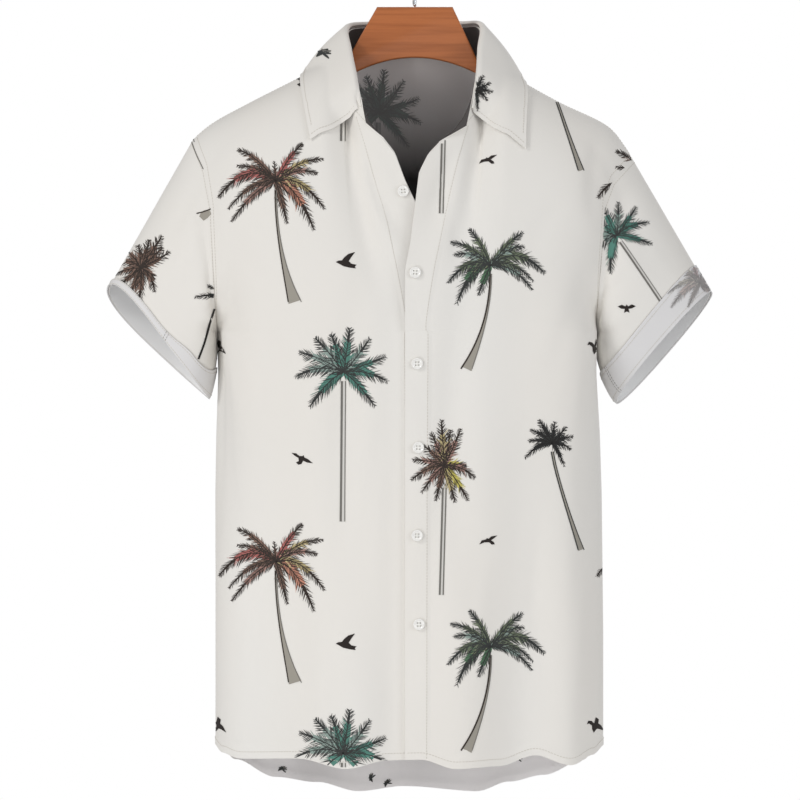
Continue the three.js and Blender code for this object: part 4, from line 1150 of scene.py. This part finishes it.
def leaflet(base, tip, half):
    """A blade that narrows to a blunt point, as one face."""
    middle = mix(base, tip, 0.6)
    return [base - half * 0.7, middle - half, tip, middle + half, base + half * 0.7]


def strip(line, side, half):
    """A ribbon along a line, as a list of quads."""
    left = line + side * half[:, None]
    right = line - side * half[:, None]
    return [("quad", left[i], left[i + 1], right[i + 1], right[i]) for i in range(len(line) - 1)]


def trunk_shapes(lines):
    shapes = []
    for ink, knots in lines:
        knots = np.array(knots, float)
        line = curve_through(knots, np.linspace(0, 1, TRUNK_SAMPLES))
        flat = line[:, :2]
        run = unit(np.gradient(flat, axis=0))
        side = np.stack([-run[:, 1], run[:, 0]], axis=1)
        lift = WASH_LIFT if ink in ("ink_taupe", "ink_pale") else INK_LIFT
        shapes.append((ink, lift, strip(flat, side, np.abs(line[:, 2]))))
    return shapes


def trunk_lines(lean, top, foot, bend, thin, broad, fill, left, right):
    """A trunk that bends to one side and flares at its foot: its fill, then a line along each edge."""
    t = np.linspace(0, 1, TRUNK_KNOTS)
    x = lean * t**bend
    z = mix(top, foot, t)
    half = mix(thin, broad, t**FLARE)
    lines = [(fill, np.stack([x, z, half], axis=1))]
    for way, (ink, width) in ((-1, left), (1, right)):
        lines.append((ink, np.stack([x + way * half, z, np.full(TRUNK_KNOTS, width)], axis=1)))
    return lines


def palm_shapes(kind, with_trunk=True):
    fronds, trunk, ink, seed = PALMS[kind]
    rng = np.random.default_rng(seed)
    shapes = trunk_shapes(trunk_lines(*TRUNKS[trunk])) if with_trunk else []
    for turn, length, arch, width, wash in fronds:
        angle = math.radians(turn)
        tip = (length * math.cos(angle), length * math.sin(angle))
        shapes += frond_shapes(tip, arch, width, wash, ink, rng)
    return flatten(shapes)


def bird_shapes(kind):
    outline = [Vector((x, z, 0)) for x, z in BIRDS[kind]]
    parts = []
    for triangle in tessellate_polygon([outline]):
        corners = np.array([outline[k][:2] for k in triangle])
        parts += [("ink_bird", INK_LIFT, part) for part in split(corners, BIRD_SPLITS)]
    return flatten(parts)


def split(corners, times):
    """A triangle cut into four, and again, so that it can follow the cloth."""
    if times == 0:
        return [corners]
    a, b, c = corners
    ab, bc, ca = (a + b) / 2, (b + c) / 2, (c + a) / 2
    parts = [(a, ab, ca), (ab, b, bc), (ca, bc, c), (ab, bc, ca)]
    return [piece for part in parts for piece in split(np.array(part), times - 1)]


def flatten(shapes):
    """Every shape becomes faces of three or four corners."""
    faces = []
    for ink, lift, shape in shapes:
        if len(shape) and isinstance(shape[0], tuple):
            faces += [(ink, lift, np.array(quad[1:])) for quad in shape]
        else:
            faces.append((ink, lift, np.array(shape)))
    return faces


def scaled(faces, share):
    return [(ink, lift, corners * share) for ink, lift, corners in faces]


def placed(faces, x, z, turn, mirrored):
    angle = math.radians(turn)
    c, s = math.cos(angle), math.sin(angle)
    spin = np.array([[c, -s], [s, c]])
    flip = np.array([-1 if mirrored else 1, 1])
    return [(ink, lift, (corners * flip) @ spin.T + np.array([x, z])) for ink, lift, corners in faces]


def tile_motifs(phase_x, phase_z, mirrored=False):
    motifs = []
    for kind, x, z in TILE:
        for across in (-1, 0, 1):
            for down in (-1, 0, 1, 2):
                px = x + across * REPEAT + phase_x
                pz = z - down * REPEAT + REPEAT + phase_z
                motifs.append((kind, -px if mirrored else px, pz, 0, mirrored))
    return motifs


def lay_print(name, tree, motifs, drawings, materials, from_back=False):
    """Lays motifs on the cloth by looking along Y, from the front or from the back."""
    start_y = PROBE_REACH if from_back else -PROBE_REACH
    way = Vector((0, -1 if from_back else 1, 0))
    vertices, faces, indices = [], [], []
    names = list(materials)
    for kind, x, z, turn, mirrored in motifs:
        for ink, lift, corners in placed(drawings[kind], x, z, turn, mirrored):
            hits = []
            for cx, cz in corners:
                place, normal, _, _ = tree.ray_cast(Vector((cx, start_y, cz)), way)
                if place is None or normal.dot(way) > NORMAL_LIMIT:
                    hits = None
                    break
                hits.append(place + normal * lift)
            if not hits or max((a - b).length for a in hits for b in hits) > LONGEST_FACE:
                continue
            base = len(vertices)
            vertices += hits
            order = list(range(base, base + len(hits)))
            faces.append(facing(order, hits, way))
            indices.append(names.index(ink))
    return new_mesh(name, vertices, faces, [materials[n] for n in names], indices, smooth=False)


def facing(order, hits, way):
    normal = (hits[1] - hits[0]).cross(hits[2] - hits[0])
    return order if normal.dot(way) < 0 else order[::-1]


# Finishes
def linear(rgb):
    return [c / 12.92 if c <= 0.04045 else ((c + 0.055) / 1.055) ** 2.4 for c in rgb] + [1]


def finish_of(name, rgb, roughness, **uniform):
    material = bpy.data.materials.new(name)
    material.use_nodes = True
    shader = material.node_tree.nodes["Principled BSDF"]
    shader.inputs["Base Color"].default_value = linear(rgb)
    shader.inputs["Roughness"].default_value = roughness
    for socket, value in uniform.items():
        shader.inputs[socket.replace("_", " ")].default_value = value
    return material


def add_node(material, kind, **values):
    node = material.node_tree.nodes.new(kind)
    for key, value in values.items():
        if key in node.inputs:
            node.inputs[key].default_value = value
        else:
            setattr(node, key, value)
    return node


def object_coordinates(material, scale):
    tree = material.node_tree
    source = add_node(material, "ShaderNodeTexCoord")
    mapping = add_node(material, "ShaderNodeMapping")
    mapping.inputs["Scale"].default_value = scale
    tree.links.new(source.outputs["Object"], mapping.inputs["Vector"])
    return mapping.outputs["Vector"]


def cloth_finish(name, rgb, second, weave):
    material = finish_of(name, rgb, 0.82, Sheen_Weight=0.12, Sheen_Roughness=0.5, Specular_IOR_Level=0.25)
    tree = material.node_tree
    shader = tree.nodes["Principled BSDF"]
    tint = add_node(material, "ShaderNodeTexNoise", Scale=1.0, Detail=1.0)
    tree.links.new(object_coordinates(material, (7, 7, 2.5)), tint.inputs["Vector"])
    colours = add_node(material, "ShaderNodeMix", data_type="RGBA")
    colours.inputs["A"].default_value = linear(rgb)
    colours.inputs["B"].default_value = linear(second)
    tree.links.new(tint.outputs["Fac"], colours.inputs["Factor"])
    tree.links.new(colours.outputs["Result"], shader.inputs["Base Color"])
    grain = add_node(material, "ShaderNodeTexNoise", Scale=1.0, Detail=2.0)
    tree.links.new(object_coordinates(material, (1500, 1500, 1500)), grain.inputs["Vector"])
    bump = add_node(material, "ShaderNodeBump", Strength=weave, Distance=0.0002)
    tree.links.new(grain.outputs["Fac"], bump.inputs["Height"])
    tree.links.new(bump.outputs["Normal"], shader.inputs["Normal"])
    return material


def wood_finish():
    material = finish_of("wood", (0.74, 0.40, 0.21), 0.42, Coat_Weight=0.25, Coat_Roughness=0.3)
    tree = material.node_tree
    shader = tree.nodes["Principled BSDF"]
    grain = add_node(material, "ShaderNodeTexNoise", Scale=1.0, Detail=6.0, Roughness=0.62)
    tree.links.new(object_coordinates(material, (9, 60, 210)), grain.inputs["Vector"])
    ramp = add_node(material, "ShaderNodeValToRGB")
    ramp.color_ramp.elements[0].position = 0.33
    ramp.color_ramp.elements[0].color = linear((0.64, 0.35, 0.15))
    ramp.color_ramp.elements[1].position = 0.62
    ramp.color_ramp.elements[1].color = linear((0.73, 0.42, 0.21))
    tree.links.new(grain.outputs["Fac"], ramp.inputs["Fac"])
    tree.links.new(ramp.outputs["Color"], shader.inputs["Base Color"])
    bump = add_node(material, "ShaderNodeBump", Strength=0.15, Distance=0.0003)
    tree.links.new(grain.outputs["Fac"], bump.inputs["Height"])
    tree.links.new(bump.outputs["Normal"], shader.inputs["Normal"])
    return material


def shade_down(material, stops):
    """Painted light and shade on a wrong side by height: each stop is a height in metres and a grey level."""
    tree = material.node_tree
    source = add_node(material, "ShaderNodeTexCoord")
    split_up = add_node(material, "ShaderNodeSeparateXYZ")
    tree.links.new(source.outputs["Object"], split_up.inputs["Vector"])
    low, high = stops[0][0], stops[-1][0]
    span = add_node(material, "ShaderNodeMapRange")
    span.inputs["From Min"].default_value = low
    span.inputs["From Max"].default_value = high
    tree.links.new(split_up.outputs["Z"], span.inputs["Value"])
    ramp = add_node(material, "ShaderNodeValToRGB")
    elements = ramp.color_ramp.elements
    while len(elements) < len(stops):
        elements.new(0.5)
    for element, (height, grey) in zip(elements, stops):
        element.position = (height - low) / (high - low)
        element.color = linear((grey, grey * 0.985, grey * 0.98))
    tree.links.new(span.outputs["Result"], ramp.inputs["Fac"])
    tree.links.new(ramp.outputs["Color"], material.node_tree.nodes["Principled BSDF"].inputs["Base Color"])
    return material


# Buttons
def lathe(profile, sides):
    vertices, faces = [], []
    for radius, height in profile[1:-1]:
        for k in range(sides):
            angle = 2 * math.pi * k / sides
            vertices.append((radius * math.cos(angle), radius * math.sin(angle), height))
    rings = len(profile) - 2
    for r in range(rings - 1):
        for k in range(sides):
            n = (k + 1) % sides
            faces.append([r * sides + k, r * sides + n, (r + 1) * sides + n, (r + 1) * sides + k])
    faces.append(list(range(sides))[::-1])
    faces.append(list(range((rings - 1) * sides, rings * sides)))
    return vertices, faces


def button_mesh(material):
    vertices, faces = lathe(BUTTON_PROFILE, BUTTON_SIDES)
    body = new_mesh("button_body", vertices, faces, [material])
    cuts, cut_faces = [], []
    for sx, sy in ((-1, -1), (1, -1), (1, 1), (-1, 1)):
        ring = [(HOLE_RADIUS * math.cos(a), HOLE_RADIUS * math.sin(a)) for a in hole_angles()]
        base = len(cuts)
        for z in (-1, 4):
            cuts += [(sx * HOLE_PLACE + x, sy * HOLE_PLACE + y, z) for x, y in ring]
        for k in range(HOLE_SIDES):
            n = (k + 1) % HOLE_SIDES
            cut_faces.append([base + k, base + n, base + HOLE_SIDES + n, base + HOLE_SIDES + k])
        cut_faces.append([base + k for k in range(HOLE_SIDES)][::-1])
        cut_faces.append([base + HOLE_SIDES + k for k in range(HOLE_SIDES)])
    cutter = new_mesh("button_cutter", cuts, cut_faces, [material])
    hole = body.modifiers.new("holes", "BOOLEAN")
    hole.operation = "DIFFERENCE"
    hole.object = cutter
    hole.solver = "EXACT"
    graph = bpy.context.evaluated_depsgraph_get()
    mesh = bpy.data.meshes.new_from_object(body.evaluated_get(graph))
    for obj in (body, cutter):
        bpy.data.objects.remove(obj)
    mesh.set_sharp_from_angle(angle=math.radians(40))
    return mesh


def hole_angles():
    return [2 * math.pi * k / HOLE_SIDES for k in range(HOLE_SIDES)]


def thread_boxes():
    """Two bars of thread over the holes, and the shank under the button."""
    vertices, faces = [], []
    for y in (-HOLE_PLACE, HOLE_PLACE):
        base = len(vertices)
        near, far = y - BAR_HALF, y + BAR_HALF
        inner = HOLE_PLACE * BAR_TOP_SHARE
        for x, z in ((-HOLE_PLACE, BAR_LOW), (-inner, BAR_HIGH), (inner, BAR_HIGH), (HOLE_PLACE, BAR_LOW)):
            top = z + BAR_THICKNESS
            vertices += [(x, near, z), (x, far, z), (x, far, top), (x, near, top)]
        for k in range(3):
            a = base + 4 * k
            for e in range(4):
                f = (e + 1) % 4
                faces.append([a + e, a + f, a + 4 + f, a + 4 + e])
        faces.append([base, base + 3, base + 2, base + 1])
        faces.append([base + 12, base + 13, base + 14, base + 15])
    shank, more = lathe(SHANK_PROFILE, SHANK_SIDES)
    faces += [[len(vertices) + k for k in f] for f in more]
    return vertices + shank, faces


def place_button(name, mesh, tree, place, thread):
    spot, normal, _, _ = tree.ray_cast(Vector((place[0], -PROBE_REACH, place[1])), Vector((0, 1, 0)))
    turn = Vector((0, 0, 1)).rotation_difference(normal).to_matrix().to_4x4()
    move = Matrix.Translation((spot + normal * BUTTON_LIFT) * MM) @ turn
    button = bpy.data.objects.new(name, mesh.copy())
    button.data.transform(move)
    bpy.context.scene.collection.objects.link(button)
    vertices, faces = thread_boxes()
    sewn = new_mesh(name + "_thread", vertices, faces, [thread], smooth=False)
    sewn.data.transform(move)
    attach(button, "root")
    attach(sewn, "root")
    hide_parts(name)
    return sewn


# Hanger
def arm_top(sizes):
    share = np.linspace(NECK_SHARE, ARM_END_SHARE, 30)
    line = curve_at_length(sizes["shoulder"], (share - NECK_SHARE) / (1 - NECK_SHARE))
    near_neck = 1 - ease((share - NECK_SHARE) / 0.12)
    near_end = ease((share - 0.62) / 0.2)
    drop = CAD_CLOTH / 2 + ARM_GAP + NECK_DROP * near_neck + END_DROP * near_end
    return np.stack([line[:, 0] * mix(1, 0.93, near_neck), line[:, 2] - drop], axis=1)


def hanger_outline():
    right = arm_top(RIGHT_SIDE)
    left = arm_top(LEFT_SIDE)

    def underside(top):
        back = top[::-1][:-5]
        depth = mix(ARM_DEPTHS[0], ARM_DEPTHS[1], np.linspace(0, 1, len(back)))
        return np.stack([back[:, 0], back[:, 1] - depth], axis=1)

    x = np.linspace(-WOOD_ARCH_HALF, WOOD_ARCH_HALF, 41)
    arch = np.stack([x, mix(WOOD_ARCH_APEX_Z, WOOD_ARCH_Z, (x / WOOD_ARCH_HALF) ** 2)], axis=1)
    corner = [[-WOOD_TOP_HALF, WOOD_TOP_Z]]
    other = [[WOOD_TOP_HALF, WOOD_TOP_Z]]
    return np.concatenate([corner, right, underside(right), arch, underside(left)[::-1], left[::-1], other])


def inset_outline(outline, inset):
    before = unit(outline - np.roll(outline, 1, axis=0))
    after = unit(np.roll(outline, -1, axis=0) - outline)
    run = unit(before + after)
    inward = np.stack([-run[:, 1], run[:, 0]], axis=1)
    return outline + inward * inset


def wood_object(material):
    outline = hanger_outline()
    count = len(outline)
    rings = []
    for side in (-1, 1):
        turns = range(WOOD_BEVEL_STEPS + 1) if side < 0 else range(WOOD_BEVEL_STEPS, -1, -1)
        for k in turns:
            angle = math.pi / 2 * k / WOOD_BEVEL_STEPS
            line = inset_outline(outline, WOOD_BEVEL_IN * (1 - math.sin(angle)))
            y = side * (WOOD_HALF - WOOD_BEVEL_DEEP * (1 - math.cos(angle)))
            rings.append(np.stack([line[:, 0], np.full(count, y), line[:, 1]], axis=1))
    faces = []
    for r in range(len(rings) - 1):
        for k in range(count):
            n = (k + 1) % count
            faces.append([r * count + n, r * count + k, (r + 1) * count + k, (r + 1) * count + n])
    last = (len(rings) - 1) * count
    faces.append(list(range(count)))
    faces.append([last + k for k in range(count)][::-1])
    obj = new_mesh("hanger_body", np.concatenate(rings), faces, [material])
    obj.data.set_sharp_from_angle(angle=math.radians(35))
    return obj


def hook_object(material):
    radius = HOOK_INNER_RADIUS + HOOK_WIRE_RADIUS
    knots = [(0, 0, WOOD_TOP_Z + LAY_GAP), (0, 0, WOOD_TOP_Z + HOOK_NECK)]
    for k in range(HOOK_KNOTS):
        angle = math.radians(mix(*HOOK_DEGREES, k / (HOOK_KNOTS - 1)))
        knots.append((radius * math.cos(angle), 0, -HOOK_INNER_RADIUS + radius * math.sin(angle)))
    line = curve_at_length(knots, np.linspace(0, 1, HOOK_STEPS))
    run = unit(np.gradient(line, axis=0))
    side = np.cross(run, [0, 1, 0])
    sides = HOOK_SIDES
    rings = []
    for i, (point, across) in enumerate(zip(line, side)):
        share = min(i, len(line) - 1 - i) / (len(line) - 1)
        scale = np.interp(share, *zip(*HOOK_ENDS))
        turn = [2 * math.pi * k / sides for k in range(sides)]
        round_it = [math.cos(a) * across + math.sin(a) * np.array([0, 1, 0]) for a in turn]
        rings += [point + HOOK_WIRE_RADIUS * scale * way for way in round_it]
    faces = []
    for r in range(len(line) - 1):
        for k in range(sides):
            n = (k + 1) % sides
            faces.append([r * sides + k, r * sides + n, (r + 1) * sides + n, (r + 1) * sides + k])
    faces.append(list(range(sides))[::-1])
    faces.append([(len(line) - 1) * sides + k for k in range(sides)])
    return new_mesh("hook_body", rings, faces, [material])


# Light and camera
def add_light(name, place, aim, size, power, colour):
    data = bpy.data.lights.new(name, "AREA")
    data.shape = "RECTANGLE"
    data.size, data.size_y = size
    data.energy = power
    data.color = colour
    light = bpy.data.objects.new(name, data)
    bpy.context.scene.collection.objects.link(light)
    light.location = place
    light.rotation_euler = (Vector(aim) - Vector(place)).to_track_quat("-Z", "Y").to_euler()


def add_stage():
    world = bpy.data.worlds.new("studio")
    bpy.context.scene.world = world
    world.use_nodes = True
    tree = world.node_tree
    around = tree.nodes["Background"]
    around.inputs["Color"].default_value = AMBIENT
    seen = tree.nodes.new("ShaderNodeBackground")
    seen.inputs["Color"].default_value = (1, 1, 1, 1)
    rays = tree.nodes.new("ShaderNodeLightPath")
    choice = tree.nodes.new("ShaderNodeMixShader")
    tree.links.new(rays.outputs["Is Camera Ray"], choice.inputs["Fac"])
    tree.links.new(around.outputs["Background"], choice.inputs[1])
    tree.links.new(seen.outputs["Background"], choice.inputs[2])
    tree.links.new(choice.outputs["Shader"], tree.nodes["World Output"].inputs["Surface"])
    floor_finish = finish_of("floor_pale", (0.95, 0.95, 0.95), 0.8)
    half = FLOOR_HALF / MM
    z = FLOOR_Z / MM
    corners = [(-half, -half, z), (half, -half, z), (half, half, z), (-half, half, z)]
    floor = new_mesh("floor", corners, [[0, 1, 2, 3]], [floor_finish], smooth=False)
    for light in LIGHTS:
        add_light(*light)


def add_camera():
    data = bpy.data.cameras.new("camera")
    data.sensor_width = SENSOR
    data.lens = SENSOR * CAMERA_DISTANCE / PICTURE_WIDTH
    data.clip_end = 50
    data.dof.use_dof = False
    camera = bpy.data.objects.new("camera", data)
    bpy.context.scene.collection.objects.link(camera)
    camera.location = (PICTURE_X, FOCUS_PLANE_Y - CAMERA_DISTANCE, PICTURE_Z)
    camera.rotation_euler = (math.pi / 2, 0, 0)
    bpy.context.scene.camera = camera


def declare(name, obj, pieces):
    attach(obj, "root")
    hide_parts(name)
    for piece in pieces:
        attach(piece, "root")


def make_finishes():
    return {
        "ivory": cloth_finish("cloth_right_side", IVORY, IVORY_WARM, WEAVE),
        "wrong": cloth_finish("cloth_wrong_side", WRONG_SIDE, WRONG_SIDE, WEAVE),
        # The inside of the sleeves is the wrong side painted paler, as painted light
        "sleeve_inside_painted_light": finish_of("cloth_sleeve_inside_painted_light", (0.97, 0.97, 0.97), 0.85),
        "thread": finish_of("thread", THREAD, 0.7),
        "seam": finish_of("thread_dark", THREAD_DARK, 0.7),
        "inks": {name: finish_of(name, rgb, 0.78) for name, rgb in INKS.items()},
        "ghosts": {name: finish_of("ghost_" + name, ghost_colour(rgb), 0.8) for name, rgb in INKS.items()},
        "inside": {name: finish_of("inside_" + name, inside_colour(rgb), 0.8) for name, rgb in INKS.items()},
    }


def make_drawings():
    drawings = {kind: palm_shapes(kind) for kind in PALMS}
    drawings.update({kind + "_crown": palm_shapes(kind, False) for kind in PALMS})
    drawings.update({kind: bird_shapes(kind) for kind in BIRDS})
    drawings.update({kind: flatten(trunk_shapes(lines)) for kind, lines in BITS.items()})
    for name, (kind, share) in SCALED_DRAWINGS.items():
        drawings[name] = scaled(drawings[kind], share)
    return drawings


def build_fronts(fronts, finishes, drawings):
    motifs = tile_motifs(0, 0)
    for name, (grid, panel) in fronts.items():
        tree = surface_tree(grid)
        obj = shell(name + "_cloth", grid, finishes["ivory"], finishes["wrong"])
        printed = lay_print(name + "_print", tree, motifs, drawings, finishes["inks"])
        sewn = stitch_mesh(name + "_stitches", tree, front_stitch_paths(panel), finishes["thread"])
        declare(name, obj, [printed, sewn])


def build_back(back, panels, motifs, finishes, drawings):
    tree = surface_tree(back)
    # The inside of the back gets painted shade behind the open neck and painted light near the neck and the
    # hem
    deep = shade_down(finish_of("cloth_back_inside_painted_shade_and_light", WRONG_SIDE, 0.85), INSIDE_SHADES)
    obj = shell("shirt_back_cloth", back, finishes["ivory"], deep)
    printed = lay_print("shirt_back_print", tree, motifs, drawings, finishes["inks"], from_back=True)
    inner_tree = surface_tree(back, True)
    neck_motifs = [m for m in tile_motifs(*INSIDE_PHASE) if m[2] > INSIDE_PRINT_END_Z]
    inside = lay_print("shirt_back_inside", inner_tree, neck_motifs, drawings, finishes["inside"])
    bits = lay_print("shirt_back_inside_bits", inner_tree, HEM_INSIDE_PRINT, drawings, finishes["inks"])
    sewn = stitch_mesh("shirt_back_stitches", tree, back_stitch_paths(panels), finishes["thread"])
    declare("shirt_back", obj, [printed, inside, bits, sewn])


def build_sleeve(side, grid, motifs, finishes, drawings):
    name = "sleeve_" + side
    tree = surface_tree(grid)
    # The sleeve's inside is painted paler than the wrong side, as painted light
    obj = shell(name + "_cloth", grid, finishes["ivory"], finishes["sleeve_inside_painted_light"])
    front = lay_print(name + "_print", tree, SLEEVE_PRINTS[side], drawings, finishes["inks"])
    rear = lay_print(name + "_print_back", tree, motifs, drawings, finishes["inks"], from_back=True)
    seam = stitch_mesh(name + "_stitches", tree, [grid_row(grid, 1)], finishes["thread"])
    declare(name, obj, [front, rear, seam])


def build_cuff(side, cuff, finishes, drawings):
    name = "cuff_" + side
    tree = surface_tree(cuff)
    obj = shell(name + "_cloth", cuff, finishes["wrong"], finishes["wrong"])
    pieces = []
    if side == "left":
        pieces.append(lay_print(name + "_print", tree, LEFT_CUFF_PRINT, drawings, finishes["ghosts"]))
    lines = [grid_row(cuff, CUFF_ROWS - 1), grid_row(cuff, 1)]
    pieces.append(stitch_mesh(name + "_stitches", tree, lines, finishes["thread"]))
    pieces.append(stitch_mesh(name + "_side_seam", tree, side_seam(cuff, CUFF_SEAMS[side]), finishes["seam"]))
    declare(name, obj, pieces)


def build_collar(stand, leaf, motifs, finishes, drawings):
    # The stand's inside is painted dark grey as painted shade
    inside = finish_of("cloth_stand_inside_painted_shade", STAND_INSIDE_PAINTED_SHADE, 0.85)
    obj = shell("collar_stand_cloth", stand, finishes["ivory"], inside)
    lines = [between_rows(stand, 0, 0.6)[3:-3], between_rows(stand, STAND_ROWS - 1, 0.4)[3:-3]]
    sewn = stitch_mesh("collar_stand_stitches", surface_tree(stand), lines, finishes["thread"])
    declare("collar_stand", obj, [sewn])
    tree = surface_tree(leaf)
    obj = shell("collar_leaf_cloth", leaf, finishes["ivory"], finishes["wrong"])
    printed = lay_print("collar_leaf_print", tree, LEAF_PRINT, drawings, finishes["inks"])
    rear = lay_print("collar_leaf_print_back", tree, motifs, drawings, finishes["inks"], from_back=True)
    edges = inside_edge(leaf, LEAF_SEAM_INSET)
    sewn = stitch_mesh("collar_leaf_stitches", tree, edges, finishes["thread"])
    declare("collar_leaf", obj, [printed, rear, sewn])


def build_buttons(right, left):
    mesh = button_mesh(finish_of("button_white", (0.96, 0.955, 0.94), 0.22, Coat_Weight=0.3))
    pale = finish_of("button_thread", (0.93, 0.92, 0.89), 0.7)
    place_button("button_1", mesh, surface_tree(right), OPEN_BUTTON, pale)
    for i, place in enumerate(CLOSED_BUTTONS):
        place_button(f"button_{i + 2}", mesh, surface_tree(left), place, pale)


def build_hanger():
    steel = finish_of("steel", (0.78, 0.79, 0.80), 0.22, Metallic=1.0)
    parts = {"hanger_wood": ("wood", wood_object(wood_finish())), "hanger_hook": ("steel", hook_object(steel))}
    for node, (slot, obj) in parts.items():
        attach(obj, "root")
        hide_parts(node)


def build():
    finishes = make_finishes()
    drawings = make_drawings()
    right, right_panel = front_grid(RIGHT_SIDE)
    left, left_panel = front_grid(LEFT_SIDE)
    back, back_panels = back_grid()
    sleeves = {"right": sleeve_grid(RIGHT_SIDE), "left": sleeve_grid(LEFT_SIDE)}
    cuffs = {"right": cuff_grid(RIGHT_SIDE, sleeves["right"]), "left": cuff_grid(LEFT_SIDE, sleeves["left"])}
    stand = stand_grid()
    share_normals([right, left, back, sleeves["right"], sleeves["left"], stand])
    leaf = leaf_grid(stand, [middle_tree(g) for g in (right, left, back, stand)])
    back_motifs = tile_motifs(*BACK_PHASE, mirrored=True)
    build_fronts({"front_right": (right, right_panel), "front_left": (left, left_panel)}, finishes, drawings)
    build_back(back, back_panels, back_motifs, finishes, drawings)
    for side in ("right", "left"):
        build_sleeve(side, sleeves[side], back_motifs, finishes, drawings)
        build_cuff(side, cuffs[side], finishes, drawings)
    build_collar(stand, leaf, back_motifs, finishes, drawings)
    build_buttons(right, left)
    build_hanger()


def inside_colour(rgb):
    """Print on the inside of the back, in the shade of the neck."""
    return tuple(mix(c, 0.6, 0.8) for c in rgb)


def ghost_colour(rgb):
    """Print seen through from the wrong side: paler and greyer."""
    grey = sum(rgb) / 3
    return tuple(mix(mix(c, grey, 0.4), w, 0.62) for c, w in zip(rgb, WRONG_SIDE))


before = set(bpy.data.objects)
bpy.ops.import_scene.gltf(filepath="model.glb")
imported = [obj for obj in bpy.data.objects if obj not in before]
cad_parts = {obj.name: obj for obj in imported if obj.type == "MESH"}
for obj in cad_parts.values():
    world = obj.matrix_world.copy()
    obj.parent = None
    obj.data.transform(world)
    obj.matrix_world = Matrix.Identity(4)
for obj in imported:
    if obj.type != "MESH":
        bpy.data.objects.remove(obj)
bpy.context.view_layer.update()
build()
add_stage()
add_camera()
bpy.context.scene.view_settings.view_transform = "Standard"
